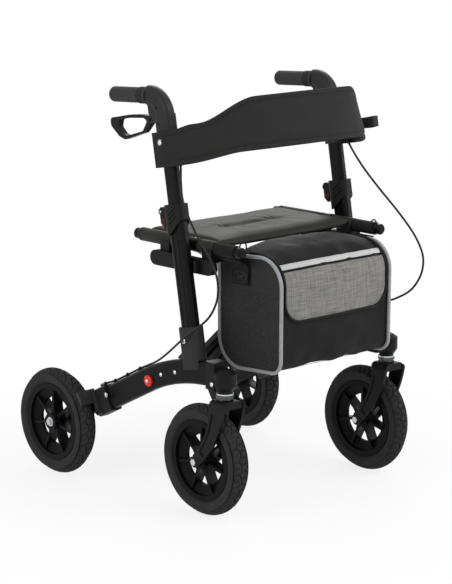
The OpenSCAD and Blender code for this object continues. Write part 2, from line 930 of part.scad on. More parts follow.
module height_clamp() {
    lug = 4.5;
    skirt = clamp_top - clamp_h - 16;
    color(moulded_grey) {
        difference() {
            union() {
                upright_prism(skirt, clamp_top)
                    rounded(clamp_w, clamp_t, 15);
                on_upright()
                    for (s = [-1, 1])
                        translate([0, s * (flip_t / 2 + seat_gap + lug / 2), 0])
                            slab_xz(-lug / 2, lug / 2)
                                stroke([-clamp_w / 2 + 10, flip_s], [flip_x, flip_s], 14);
            }
            on_upright() {
                slab_xz(-clamp_t, clamp_t)
                    polygon([
                        [-19, skirt - 6], [clamp_w, skirt - 6], [clamp_w, skirt - 6 + 0.835 * (clamp_w + 19)]
                    ]);
                for (s = [-1, 1], k = [0:2])
                    translate([8, s * clamp_t / 2, clamp_top - 33 + 9.2 * k])
                        rotate([0, -30, 0])
                            cube([34, 3, 4.5], center = true);
            }
            upright_prism(skirt - 1, tube_top + seat_gap)
                rounded(upright_w + 2 * seat_gap, upright_t + 2 * seat_gap, tube_round);
            upright_prism(tube_top, clamp_top + 1)
                rounded(inner_w + 2 * seat_gap, inner_t + 2 * seat_gap, inner_round);
        }
        on_upright()
            cross_pin(flip_x, flip_s, flip_pin_r, -flip_t / 2 - 1 - lug, flip_t / 2 + 1 + lug);
    }
}

module clamp_lever() {
    color(soft_black)
        on_upright()
            difference() {
                union() {
                    cross_pin(flip_x, flip_s, 8.5, -flip_t / 2 + 0.5, flip_t / 2 - 0.5);
                    slab_xz(-flip_t / 2, flip_t / 2)
                        translate([flip_x, flip_s])
                            polygon([
                                [-9, 5], [-5, 10], [6, 9], [9, 3], [9, -flip_l * 0.4],
                                [6, -flip_l * 0.9], [1, -flip_l], [-9, -flip_l * 0.7]
                            ]);
                }
                cross_pin(flip_x, flip_s, flip_pin_r + run_fit, -flip_t, flip_t);
            }
}

// Handle
module inner_tube() {
    color(frame_black)
        upright_prism(inner_low, inner_top)
            difference() {
                rounded(inner_w, inner_t, inner_round);
                rounded(inner_w - 2 * wall, inner_t - 2 * wall, inner_round - wall);
            }
}

module lever_cheek() {
    translate([lever_x, lever_s])
        circle(lever_eye_r);
    translate([lever_x, lever_s - lever_eye_r + 1])
        square([-sleeve_w / 2 + 4 - lever_x, 2 * lever_eye_r + 6]);
}

// Web that fills the inside of the handle's bend above the lever
module bend_web() {
    low = lever_s + lever_eye_r + 4;
    high = bend_s + bend_r - sleeve_w / 2 + 8;
    translate([lever_x - 3, low])
        square([-sleeve_w / 2 + 7 - lever_x + 3, high - low]);
}

module handle() {
    cheek = 4.5;
    color(moulded_grey) {
        difference() {
            union() {
                upright_prism(sleeve_low, bend_s + 3)
                    rounded(sleeve_w, sleeve_t, 14);
                on_upright()
                    translate([-bend_r, 0, bend_s])
                        rotate([90, 0, 0])
                            rotate_extrude(angle = bend_angle, $fn = 96)
                                translate([bend_r, 0])
                                    rounded(sleeve_w - 4, sleeve_t - 2, 14);
                on_grip()
                    translate([0, 0, -4])
                        cylinder(r = core_r, h = grip_l - 8);
                on_upright()
                    for (s = [-1, 1])
                        translate([0, s * (lever_t / 2 + 0.4 + cheek / 2), 0])
                            slab_xz(-cheek / 2, cheek / 2)
                                lever_cheek();
                on_upright()
                    slab_xz(-11, 11)
                        bend_web();
            }
            upright_prism(sleeve_low - 1, inner_top + seat_gap)
                rounded(inner_w + 2 * seat_gap, inner_t + 2 * seat_gap, inner_round);
        }
        on_upright()
            cross_pin(lever_x, lever_s, lever_pin_r, -lever_t / 2 - 1.4 - cheek, lever_t / 2 + 1.4 + cheek);
    }
}

module grip() {
    end_round = 7;
    color(soft_black)
        on_grip()
            difference() {
                rotate_extrude()
                    difference() {
                        union() {
                            translate([0, seat_gap])
                                square([grip_r, grip_l - end_round - seat_gap]);
                            square([grip_r - end_round, grip_l]);
                            translate([grip_r - end_round, grip_l - end_round])
                                circle(end_round);
                            translate([0, seat_gap])
                                square([grip_r + 2.5, 7]);
                        }
                        translate([-grip_r, -1])
                            square([grip_r, 2 * grip_l]);
                        translate([-1, -1])
                            square([1 + grip_r, 1 + seat_gap]);
                    }
                translate([0, 0, -1])
                    cylinder(r = core_r + seat_gap, h = grip_l - 11 + seat_gap);
            }
}

// Brake lever: a closed loop whose corners hang from the pivot
module brake_lever() {
    tail = -lever_l - 3;
    low = -lever_drop;
    outer = [
        [0, -7], [0, 7], [-38, 7.5], [-80, 3], [-110, -3], [tail, -9],
        [tail + 3, -27], [-112, low + 2], [-92, low - 4], [-24, low + 18]
    ];
    inner = [
        [-15, -5], [-26, 0.5], [-76, -3.5], [tail + 33, -10],
        [tail + 29, -27], [-98, low + 9], [-86, low + 5], [-30, low + 21]
    ];
    color(soft_black)
        on_upright()
            translate([lever_x, 0, lever_s])
                rotate([0, lean, 0])
                    difference() {
                        union() {
                            slab_xz(-lever_t / 2, lever_t / 2)
                                difference() {
                                    polygon(softened(outer, 9));
                                    polygon(softened(inner, 7));
                                }
                            cross_pin(0, 0, lever_eye_r, -lever_t / 2 + 0.3, lever_t / 2 - 0.3);
                        }
                        cross_pin(0, 0, lever_pin_r + run_fit, -lever_t, lever_t);
                    }
}

// Seat rails and the cross brace
module seat_rail() {
    cap = 6;
    color(frame_black)
        difference() {
            union() {
                long_pin(rail_y, seat_z, rail_r, rail_back, rail_front);
                for (x = [rail_back, rail_front])
                    translate([x, rail_y, seat_z])
                        rotate([0, x > 0 ? 90 : -90, 0])
                            cylinder(r1 = rail_r, r2 = rail_r - 4, h = 4);
            }
            long_pin(rail_y, seat_z, rail_r - wall, rail_back + cap, rail_front - cap);
            translate([brace_x + 60, rail_y, seat_z - 2 * rail_r])
                cylinder(r = 2, h = 2 * rail_r);
        }
}

// A bar climbs from one side's lower pivot to the other side's rail; it is drawn along its own length
module brace_bar(side, bar_x) {
    reach = norm([rail_y, (seat_z - pivot_z) / 2]);
    tilt = atan2(seat_z - pivot_z, 2 * rail_y);
    pocket_l = reach - 72;
    color(frame_black)
        translate([bar_x, 0, brace_mid_z])
            rotate([side * tilt, 0, 0])
                difference() {
                    slab_yz(0, brace_t) {
                        square([2 * reach, brace_w], center = true);
                        translate([-side * reach, 0])
                            circle(eye_low_r);
                        translate([side * reach, 0])
                            circle(eye_top_r);
                        circle(pin_r + 11);
                    }
                    for (s = [-1, 1], x = [-1, brace_t - 4])
                        slab_yz(x, x + 5)
                            translate([s * (reach / 2), 0])
                                rounded(pocket_l, brace_w - 10, 5);
                    long_pin(-side * reach, 0, pin_r + run_fit, -1, brace_t + 1);
                    long_pin(side * reach, 0, rail_r + run_fit, -1, brace_t + 1);
                    long_pin(0, 0, pin_r + run_fit, -1, brace_t + 1);
                }
}

module brace_pin() {
    color(bright_zinc) {
        long_pin(0, brace_mid_z, pin_r, rear_bar_x - 4, front_bar_x + brace_t + 4);
        for (x = [rear_bar_x - seat_gap - 4, front_bar_x + brace_t + seat_gap])
            long_pin(0, brace_mid_z, pin_r + 4, x, x + 4);
    }
}

// Seat pad: a crowned sling whose edges turn over the rails
pad_half = rail_y - rail_r - 1;
pad_low = seat_z + rail_r + 2.5 - pad_t;
channel_w = 40;
strap_l = 190;
function pad_draw(u) = 3 * (1 - pow(abs(2 * u - 1), 4));
function pad_dip(x) = abs(x) < channel_w / 2 ? 2.2 : abs(x) < channel_w / 2 + 12 ? 1 : 0;
function pad_top(u, v, x) =
    pad_low + pad_t + pad_crown * (1 - pow(2 * u - 1, 4)) * (1 - pow(2 * v - 1, 4)) - pad_dip(x);

module pad_form() {
    mid = (pad_back + pad_front) / 2;
    half = (pad_front - pad_back) / 2;
    across = 12;
    xs = concat(
        [for (k = [0:4]) -half + (half - channel_w / 2 - 14) * k / 4],
        [-channel_w / 2 - 1, -channel_w / 2 + 1, channel_w / 2 - 1, channel_w / 2 + 1],
        [for (k = [4:-1:0]) half - (half - channel_w / 2 - 14) * k / 4]
    );
    rows = len(xs);
    function place(i, k) =
        let (v = k / across, u = (xs[i] + half) / (2 * half))
        [mid + xs[i] * (1 - pad_draw(v) / half), (2 * v - 1) * pad_half, 0];
    top = [
        for (i = [0:rows - 1], k = [0:across])
            place(i, k) + [0, 0, pad_top((xs[i] + half) / (2 * half), k / across, xs[i])]
    ];
    base = [for (i = [0:rows - 1], k = [0:across]) place(i, k) + [0, 0, pad_low]];
    n = rows * (across + 1);
    function at(i, k) = i * (across + 1) + k;
    lid = [
        for (i = [0:rows - 2], k = [0:across - 1])
            each [[at(i, k), at(i, k + 1), at(i + 1, k)], [at(i + 1, k), at(i, k + 1), at(i + 1, k + 1)]]
    ];
    rim_path = concat(
        [for (k = [0:across - 1]) at(0, k)],
        [for (i = [0:rows - 2]) at(i, across)],
        [for (k = [across:-1:1]) at(rows - 1, k)],
        [for (i = [rows - 1:-1:1]) at(i, 0)]
    );
    m = len(rim_path);
    edge = [
        for (k = [0:m - 1])
            let (a = rim_path[k], b = rim_path[(k + 1) % m])
            each [[a, a + n, b], [b, a + n, b + n]]
    ];
    floor_faces = [for (f = lid) [f[0] + n, f[2] + n, f[1] + n]];
    polyhedron(concat(top, base), concat(lid, floor_faces, edge), 4);
}

module seat_pad() {
    eye = brace_x - bar_gap / 2 - brace_t - 3;
    eye_l = 2 * brace_t + bar_gap + 6;
    lap = 2.5;
    color(soft_black)
        difference() {
            union() {
                pad_form();
                for (s = [-1, 1])
                    slab_yz(pad_back, pad_front)
                        intersection() {
                            difference() {
                                translate([s * rail_y, seat_z])
                                    circle(rail_r + seat_gap + lap);
                                translate([s * rail_y, seat_z])
                                    circle(rail_r + seat_gap);
                            }
                            translate([s * rail_y - 40, seat_z])
                                square([80, 40]);
                        }
            }
            for (s = [-1, 1])
                translate([eye, s > 0 ? rail_y - 46 : -rail_y - 30, pad_low - 30])
                    cube([eye_l, 76, 30 + pad_t - 3.5]);
            for (s = [-1, 1])
                translate([eye, s > 0 ? rail_y - eye_top_r - 1 : -rail_y - 40, pad_low - 30])
                    cube([eye_l, 40 + eye_top_r + 1, 80]);
        }
}

// Webbing: the fold strap on the seat and the two loops that hang the bag from the rails
module webbing_straps() {
    pad_mid = (pad_back + pad_front) / 2;
    strap_z = pad_low + pad_t + pad_crown - 2.2 + seat_gap;
    hang_x = rail_front - 44;
    hang_w = 30;
    web = 2;
    ring_r = rail_r + seat_gap;
    hang_y = bag_half + seat_gap + web / 2;
    color(soft_black) {
        translate([pad_mid, 0, strap_z])
            linear_extrude(web)
                rounded(channel_w - 10, strap_l, 6);
        for (s = [-1, 1])
            sided(s)
                slab_yz(hang_x, hang_x + hang_w)
                    difference() {
                        union() {
                            translate([rail_y, seat_z])
                                circle(ring_r + web);
                            stroke([rail_y - ring_r, seat_z - 6], [hang_y, bag_top - 40], web);
                            stroke([hang_y, bag_top - 40], [hang_y, bag_top - 110], web);
                        }
                        translate([rail_y, seat_z])
                            circle(ring_r);
                    }
    }
}

// Bag: a soft box with a rounded back, a bellied front and a pocket
module bag_side(inset) {
    body_front = bag_front - pocket_t;
    bag_tilt = 11;
    hull($fn = 32) {
        translate([bag_back + 66, bag_low + 66])
            circle(66 - inset);
        translate([body_front - 30, bag_low + bag_tilt + 30])
            circle(30 - inset);
        translate([body_front - 60, bag_top - 60])
            circle(60 - inset);
        translate([bag_back + 20, bag_top - 20])
            circle(20 - inset);
    }
}

module storage_bag() {
    pocket_low = bag_low + 112;
    pocket_high = bag_top - 50;
    color(bag_grey)
        difference() {
            union() {
                slab_xz(-bag_half, bag_half)
                    bag_side(0);
                slab_yz(bag_front - pocket_t - 12, bag_front)
                    hull($fn = 32) {
                        for (s = [-1, 1]) {
                            translate([s * (bag_half - 60), pocket_low + 45])
                                circle(45);
                            translate([s * (bag_half - 22), pocket_high - 8])
                                circle(8);
                        }
                    }
            }
            slab_xz(-bag_half + bag_wall, bag_half - bag_wall)
                bag_side(bag_wall);
            translate([bag_back + 16, -bag_half + 30, bag_top - 2 * bag_wall])
                cube([12, 2 * bag_half - 60, 4 * bag_wall]);
        }
}

// Backrest: a padded strip that bows forward between the handles' outer faces
band_half = frame_y + sleeve_t / 2 + seat_gap + band_t / 2;
band_low = clamp_top + handle_gap - 4;
band_back = -22;
band_straight = 12;
band_ends = 3;
band_arcs = 30;
function smooth(a, b, x) = let (t = min(max((x - a) / (b - a), 0), 1)) t * t * (3 - 2 * t);
function band_at(i) =
    let (
        turn = 180 * (i - band_ends) / band_arcs,
        before = i < band_ends,
        after = i > band_ends + band_arcs,
        end = (after ? i - band_ends - band_arcs : band_ends - i) / band_ends
    )
    before || after
        ? [band_straight + (band_back - band_straight) * end, (after ? -1 : 1) * band_half]
        : [band_straight + band_reach * sin(turn), band_half * cos(turn)];
function band_normal(i) =
    let (
        turn = 180 * min(max((i - band_ends) / band_arcs, 0), 1),
        n = [sin(turn) / band_reach, cos(turn) / band_half]
    )
    unit(n);
function band_rise(y) = smooth(band_half - 2, band_half - 137, abs(y));
function band_lift(y) = smooth(band_half, band_half - 99, abs(y));
function soft_corner(a) = sign(a) * sqrt(abs(a));

module backrest() {
    sides = 12;
    last = 2 * band_ends + band_arcs;
    points = [
        for (i = [0:last], k = [0:sides - 1])
            let (
                p = band_at(i),
                n = band_normal(i),
                rise = band_rise(p[1]),
                low = band_low + 14 * band_lift(p[1]),
                high = band_low + band_end_h + (band_mid_h - band_end_h) * rise,
                a = 360 * (k + 0.5) / sides,
                off = band_t / 2 * soft_corner(cos(a)),
                z = (low + high) / 2 + (high - low) / 2 * soft_corner(sin(a))
            )
            [p[0] + off * n[0], p[1] + off * n[1], z]
    ];
    walls = [
        for (i = [0:last - 1], k = [0:sides - 1])
            let (a = i * sides + k, b = i * sides + (k + 1) % sides)
            each [[a, b, b + sides], [a, b + sides, a + sides]]
    ];
    start = [for (k = [1:sides - 2]) [0, k + 1, k]];
    stop = [for (k = [1:sides - 2]) let (z = last * sides) [z, z + k, z + k + 1]];
    color(soft_black)
        translate([upright_x, 0, foot_z])
            rotate([0, -lean, 0])
                polyhedron(points, concat(walls, start, stop), 4);
}

module cane_loop() {
    web = 2;
    depth = 33;
    length = 110;
    off_y = band_half + band_t / 2 + seat_gap - frame_y + depth / 2;
    color(soft_black)
        on_upright()
            translate([length / 2 - 12, off_y, band_low + 31])
                linear_extrude(25)
                    difference() {
                        rounded(length, depth, depth / 2 - 1);
                        rounded(length - 2 * web, depth - 2 * web, depth / 2 - 1 - web);
                    }
}

module front_wheel_place() {
    translate([front_x, frame_y, tyre_r])
        children();
}

module rear_wheel_place() {
    translate([rear_x, rear_track, tyre_r])
        children();
}

sided(1) beam();  // left_beam
sided(1) rear_arm();  // left_rear_arm
sided(1) brake_housing();  // left_brake_housing
sided(1) rear_axle();  // left_rear_axle
sided(1) upright();  // left_upright
sided(1) socket(front_bar_x);  // left_socket
sided(1) caster_head();  // left_caster_head
sided(1) height_clamp();  // left_height_clamp
sided(1) seat_support();  // left_seat_support
sided(1) reflector();  // left_reflector
sided(1) bolts(front_bar_x);  // left_bolts
sided(1) cable(left_route);  // left_cable
sided(1) inner_tube();  // left_inner_tube
sided(1) handle();  // left_handle
sided(1) grip();  // left_grip
sided(1) brake_lever();  // left_brake_lever
sided(1) brake_arm();  // left_brake_arm
sided(1) clamp_lever();  // left_clamp_lever
sided(1) fork();  // left_fork
sided(1) caster_stem();  // left_caster_stem
sided(1) front_axle();  // left_front_axle
sided(1) front_wheel_place() tyre();  // left_front_tyre
sided(1) front_wheel_place() rim();  // left_front_rim
sided(1) rear_wheel_place() tyre();  // left_rear_tyre
sided(1) rear_wheel_place() rim();  // left_rear_rim
sided(1) seat_rail();  // left_seat_rail
brace_bar(-1, front_bar_x);  // left_brace_bar
sided(-1) beam();  // right_beam
sided(-1) rear_arm();  // right_rear_arm
sided(-1) brake_housing();  // right_brake_housing
sided(-1) rear_axle();  // right_rear_axle
sided(-1) upright();  // right_upright
sided(-1) socket(rear_bar_x);  // right_socket
sided(-1) caster_head();  // right_caster_head
sided(-1) height_clamp();  // right_height_clamp
sided(-1) seat_support();  // right_seat_support
sided(-1) reflector();  // right_reflector
sided(-1) bolts(rear_bar_x);  // right_bolts
sided(-1) cable(right_route);  // right_cable
sided(-1) inner_tube();  // right_inner_tube
sided(-1) handle();  // right_handle
sided(-1) grip();  // right_grip
sided(-1) brake_lever();  // right_brake_lever
sided(-1) brake_arm();  // right_brake_arm
sided(-1) clamp_lever();  // right_clamp_lever
sided(-1) fork();  // right_fork
sided(-1) caster_stem();  // right_caster_stem
sided(-1) front_axle();  // right_front_axle
sided(-1) front_wheel_place() tyre();  // right_front_tyre
sided(-1) front_wheel_place() rim();  // right_front_rim
sided(-1) rear_wheel_place() tyre();  // right_rear_tyre
sided(-1) rear_wheel_place() rim();  // right_rear_rim
sided(-1) seat_rail();  // right_seat_rail
brace_bar(1, rear_bar_x);  // right_brace_bar
brace_pin();
seat_pad();
webbing_straps();
storage_bag();
backrest();
sided(1) cane_loop();
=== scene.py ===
"""Looks for an all terrain rollator: tyres, soft goods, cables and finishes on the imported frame."""

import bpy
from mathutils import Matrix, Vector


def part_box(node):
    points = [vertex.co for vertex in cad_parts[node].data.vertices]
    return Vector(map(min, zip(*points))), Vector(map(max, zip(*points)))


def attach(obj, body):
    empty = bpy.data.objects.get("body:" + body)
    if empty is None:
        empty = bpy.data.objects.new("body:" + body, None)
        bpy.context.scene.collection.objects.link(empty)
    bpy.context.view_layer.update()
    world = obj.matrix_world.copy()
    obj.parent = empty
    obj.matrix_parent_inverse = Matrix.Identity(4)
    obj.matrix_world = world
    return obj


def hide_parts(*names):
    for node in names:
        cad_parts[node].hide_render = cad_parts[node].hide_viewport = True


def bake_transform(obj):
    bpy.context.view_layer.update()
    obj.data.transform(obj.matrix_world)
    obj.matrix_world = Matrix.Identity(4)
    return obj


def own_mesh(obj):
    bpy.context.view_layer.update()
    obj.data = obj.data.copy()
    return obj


bl_info = {
    "name": "All Terrain Rollator Looks",
    "version": (1, 0, 0),
    "blender": (4, 5, 0),
    "location": "View3D > Sidebar > Rollator",
    "description": "Dresses a rollator's frame with tyres, soft goods, cables and finishes",
    "category": "Object",
}

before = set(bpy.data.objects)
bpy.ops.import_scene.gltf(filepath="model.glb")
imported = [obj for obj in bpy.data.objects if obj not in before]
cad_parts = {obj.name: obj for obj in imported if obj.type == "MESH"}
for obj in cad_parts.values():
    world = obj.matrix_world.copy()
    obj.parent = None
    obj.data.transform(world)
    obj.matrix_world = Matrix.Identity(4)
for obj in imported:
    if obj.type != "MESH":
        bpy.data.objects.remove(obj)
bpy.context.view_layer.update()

import math

import bmesh
import bpy
from mathutils import Matrix, Vector, noise

SIDES = (("right", -1), ("left", 1))

# Places on the frame, in metres
FRAME_Y = 0.258
FOOT = Vector((0.1945, 0, 0.322456))
LEAN = math.radians(10)
RAIL_Y = 0.219
RAIL_Z = 0.598
RAIL_R = 0.0125
BEAM_SLOPE = math.radians(27)
REAR_AXLE = Vector((-0.255, 0, 0.127))
STRAP_X = 0.254
FLIP_X, FLIP_S = -0.0415, 0.360
CABLE_RISE = 0.0318


def leaning(x, y, s):
    """A point given across and along the leaning upright, from the foot of the upright's axis."""
    return Vector((
        FOOT.x + x * math.cos(LEAN) - s * math.sin(LEAN),
        y,
        FOOT.z + x * math.sin(LEAN) + s * math.cos(LEAN),
    ))


def smooth_step(low, high, value):
    t = min(max((value - low) / (high - low), 0.0), 1.0)
    return t * t * (3 - 2 * t)


def corners(node):
    """The low and high corners of a node of the frame."""
    return [Vector(corner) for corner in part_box(node)]


def middle(node):
    low, high = corners(node)
    return (low + high) / 2


def metres(name, words, default, low, high):
    return bpy.props.FloatProperty(
        name=name, description=words, default=default, min=low, max=high, unit="LENGTH")


def colour(name, words, default):
    return bpy.props.FloatVectorProperty(
        name=name, description=words, default=default, subtype="COLOR", min=0, max=1)


class RollatorSizes(bpy.types.PropertyGroup):
    """Sizes a user would change."""

    tread_depth: metres("Tread depth", "Height of a tyre's blocks above its carcass", 0.0033, 0.0005, 0.004)
    tread_blocks: bpy.props.IntProperty(
        name="Tread waves", description="Scallops of the tread round a tyre", default=26, min=12, max=60)
    band_thickness: metres("Backrest thickness", "Thickness of the padded strip", 0.0135, 0.006, 0.014)
    seam_inset: metres("Seam inset", "Distance of the backrest's seam from its edge", 0.0115, 0.004, 0.02)
    piping_radius: metres("Piping radius", "Radius of the cord round the bag's sides", 0.0042, 0.002, 0.006)
    cable_radius: metres("Cable radius", "Radius of a brake cable's sheath", 0.0025, 0.001, 0.004)
    web_thickness: metres("Webbing thickness", "Thickness of the flat webbing", 0.002, 0.001, 0.003)


class RollatorColours(bpy.types.PropertyGroup):
    """Colours a user would change."""

    frame_black: colour("Frame", "Gloss paint of the tubes", (0.0045, 0.0045, 0.0048))
    moulded_grey: colour("Mouldings", "Satin moulded housings", (0.0165, 0.0167, 0.0168))
    black_plastic: colour("Black plastic", "Rims, forks and levers", (0.0058, 0.0058, 0.0060))
    tyre_grey: colour("Tyres", "Rubber of the tyres", (0.0225, 0.0228, 0.0228))
    zinc: colour("Zinc", "Bright plated fasteners", (0.63, 0.65, 0.67))
    reflector_red: colour("Reflector", "Lens of the side reflectors", (0.90, 0.030, 0.016))
    flip_red: colour("Lever tips", "Thumb ends of the clamp levers", (0.048, 0.005, 0.008))
    seat_skin: colour("Seat", "Coated fabric of the seat", (0.0225, 0.0220, 0.0192))
    band_fabric: colour("Backrest", "Fabric of the backrest", (0.0235, 0.0235, 0.0230))
    bag_black: colour("Bag", "Main fabric of the bag", (0.0165, 0.0165, 0.0170))
    bag_side: colour("Bag sides", "Upper side panels of the bag", (0.0340, 0.0343, 0.0350))
    piping_grey: colour("Piping", "Cord round the bag's sides", (0.31, 0.315, 0.326))
    strip_grey: colour("Strip", "Bright strip across the bag", (0.50, 0.505, 0.50))
    pocket_grey: colour("Pocket", "Woven pocket on the bag", (0.195, 0.193, 0.180))


def arithmetic(operation, swapped=False):
    """A method that joins two values in a math node."""
    def combine(self, other):
        first, second = (other, self) if swapped else (self, other)
        return self.tree.node("ShaderNodeMath", {"operation": operation}, {0: first, 1: second})
    return combine


class Wire:
    """A shader socket that takes part in plain arithmetic."""

    def __init__(self, tree, socket):
        self.tree = tree
        self.socket = socket

    __add__, __radd__ = arithmetic("ADD"), arithmetic("ADD", True)
    __mul__, __rmul__ = arithmetic("MULTIPLY"), arithmetic("MULTIPLY", True)
    __gt__ = arithmetic("GREATER_THAN")
    most = arithmetic("MAXIMUM")


class Tree:
    """The nodes of a material or a world, written as expressions."""

    def __init__(self, owner):
        owner.use_nodes = True
        self.nodes, self.links = owner.node_tree.nodes, owner.node_tree.links
        self.owner = owner

    def find(self, kind):
        return next(n for n in self.nodes if n.type == kind)

    def join(self, socket, value):
        if isinstance(value, Wire):
            self.links.new(value.socket, socket)
        else:
            socket.default_value = value

    def node(self, kind, settings, sockets, out=0):
        made = self.nodes.new(kind)
        for name, value in settings.items():
            if name == "stops":
                for stop, (at, shade) in zip(made.color_ramp.elements, value):
                    stop.position, stop.color = at, (*shade, 1)
            else:
                setattr(made, name, value)
        for name, value in sockets.items():
            self.join(made.inputs[name], value)
        return Wire(self, made.outputs[out])

    def place(self):
        return self.node("ShaderNodeTexCoord", {}, {}, "Object")

    def ray(self, kind):
        return self.node("ShaderNodeLightPath", {}, {}, f"Is {kind} Ray")


SOCKETS = {
    "shine": "Specular IOR Level", "metal": "Metallic", "rough": "Roughness", "coat": "Coat Weight",
    "sheen": "Sheen Weight", "sheen_rough": "Sheen Roughness",
}


class Finish(Tree):
    """One procedural material on the principled shader."""

    def __init__(self, name, **fixed):
        super().__init__(bpy.data.materials.new(name))
        self.shader = self.find("BSDF_PRINCIPLED")
        for words, value in fixed.items():
            self.join(self.shader.inputs[SOCKETS[words]], value)
        self.where = self.place()

    def noise(self, scale, detail=2.0, stretch=(1, 1, 1)):
        spread = self.node("ShaderNodeMapping", {}, {"Vector": self.where, "Scale": stretch})
        return self.node("ShaderNodeTexNoise", {}, {"Vector": spread, "Scale": scale, "Detail": detail})

    def wave(self, scale, axis):
        return self.node(
            "ShaderNodeTexWave", {"bands_direction": axis}, {"Vector": self.where, "Scale": scale})

    def cells(self, scale, feature="F1"):
        return self.node(
            "ShaderNodeTexVoronoi", {"feature": feature}, {"Vector": self.where, "Scale": scale})

    def shades(self, amount, shade, low, high):
        """Base colour between two tints of a shade."""
        ends = {6: (*tint(shade, low), 1), 7: (*tint(shade, high), 1)}
        self.base(self.node("ShaderNodeMix", {"data_type": "RGBA"}, {"Factor": amount, **ends}, 2))

    def bump(self, height, strength, distance):
        sockets = {"Height": height, "Strength": strength, "Distance": distance}
        self.join(self.shader.inputs["Normal"], self.node("ShaderNodeBump", {}, sockets))
        return self.owner

    def base(self, value):
        self.join(self.shader.inputs["Base Color"], value)

    def rough(self, value):
        self.join(self.shader.inputs["Roughness"], value)


def tint(shade, factor):
    return tuple(min(1.0, c * factor) for c in shade)


def mottled(name, shade, shine, patches, tints, rough):
    """A finish whose colour and roughness drift together in patches."""
    f = Finish(name, shine=shine)
    drift = f.noise(*patches)
    f.shades(drift, shade, *tints)
    f.rough(rough[0] + rough[1] * drift)
    return f


def gloss_paint(name, shade):
    """Powder coat: a faint orange peel and soft patches of handling."""
    f = mottled(name, shade, 0.10, (14, 3), (0.8, 1.35), (0.2, 0.16))
    return f.bump(f.noise(650, 2), 0.12, 0.0004)


def moulding(name, shade, rough=0.46, grain=0.22, shine=0.18):
    """Moulded plastic: a fine spark grain with a few smoother patches."""
    f = mottled(name, shade, shine, (22, 3), (0.82, 1.3), (rough - 0.06, 0.14))
    return f.bump(f.cells(1500), grain, 0.0004)


def soft_rubber(name, shade):
    """Grip rubber: shallow cross ribs under a matte skin."""
    f = mottled(name, shade, 0.15, (30, 3), (0.85, 1.5), (0.5, 0.2))
    ribs = f.wave(75, "X") * 0.6 + f.cells(900) * 0.4
    return f.bump(ribs, 0.3, 0.0006)


def tyre_rubber(name, shade):
    """Tyre rubber: dull, with a dry bloom in patches."""
    f = mottled(name, shade, 0.12, (35, 5), (0.7, 1.7), (0.58, 0.25))
    return f.bump(f.noise(900, 3), 0.25, 0.0005)


def plated(name, shade):
    """Bright zinc with faint turned streaks."""
    f = Finish(name, metal=1.0)
    streaks = f.noise(120, 4, (1, 6, 1))
    f.shades(streaks, shade, 0.72, 1.12)
    f.rough(0.2 + 0.2 * streaks)
    return f.owner


def red_lens(name, shade):
    """Reflector lens: small prisms under a clear coat, each prism's red painted lighter at its middle and
    darker at its edges as painted facet shading.
    """
    f = Finish(name, rough=0.16, coat=0.1, shine=0.2)
    prisms_and_facet_shade = f.cells(420)
    # Painted shade and highlight: the red is lighter at each prism's middle and darker towards its edges,
    # standing in for light on the facets; the same cells also give the real bump.
    f.shades(prisms_and_facet_shade, shade, 1.25, 0.55)
    return f.bump(prisms_and_facet_shade, 0.5, 0.0008)


def coated_seat(name, shade):
    """Soft coated fabric: leather-like grain with a broad sheen."""
    f = mottled(name, shade, 0.1, (18, 4), (0.78, 1.3), (0.46, 0.14))
    grain = f.cells(620, "DISTANCE_TO_EDGE") * 1.4 + f.noise(60, 4) * 0.8
    return f.bump(grain, 0.18, 0.0007)


def woven(name, shade, threads=420, spread=0.35, rough=0.72, bump=0.35):
    """Plain weave on two crossing sets of threads, with slight mottling."""
    f = Finish(name, shine=0.06, sheen=0.02, sheen_rough=0.5)
    weft = f.wave(threads, "Z") * f.wave(threads, "Y") + f.wave(threads, "X") * 0.3
    mottle = f.noise(40, 4)
    f.shades(weft * 0.5 + mottle * 0.6, shade, 1 - spread, 1 + spread)
    f.rough(rough - 0.06 + 0.12 * mottle)
    return f.bump(weft, bump, 0.0005)


def open_mesh(name, shade):
    """Knitted mesh: rows of small dark eyes."""
    f = Finish(name, shine=0.06)
    eyes = f.cells(560) > 0.42
    drift = f.noise(9, 3)
    f.shades(eyes * 0.75 + drift * 0.25, shade, 0.22, 1.0)
    f.rough(0.6 + 0.15 * drift)
    return f.bump(f.cells(560), 0.5, 0.0006)


def melange(name, shade):
    """Two-tone yarn: short light and dark threads both ways."""
    f = Finish(name, rough=0.8, shine=0.2)
    across = f.noise(70, 4, (1, 0.35, 14))
    upward = f.noise(70, 4, (1, 14, 0.35))
    yarn = across * 0.55 + upward * 0.55
    stops = ((0.36, tint(shade, 0.34)), (0.72, tint(shade, 1.5)))
    f.base(f.node("ShaderNodeValToRGB", {"stops": stops}, {"Fac": yarn}))
    return f.bump(yarn, 0.35, 0.0007)


def satin_trim(name, shade, rough=0.5, ribs=600):
    """Woven trim with fine cross ribs."""
    f = mottled(name, shade, 0.15, (55, 4), (0.8, 1.18), (rough - 0.06, 0.14))
    return f.bump(f.wave(ribs, "DIAGONAL"), 0.2, 0.0004)


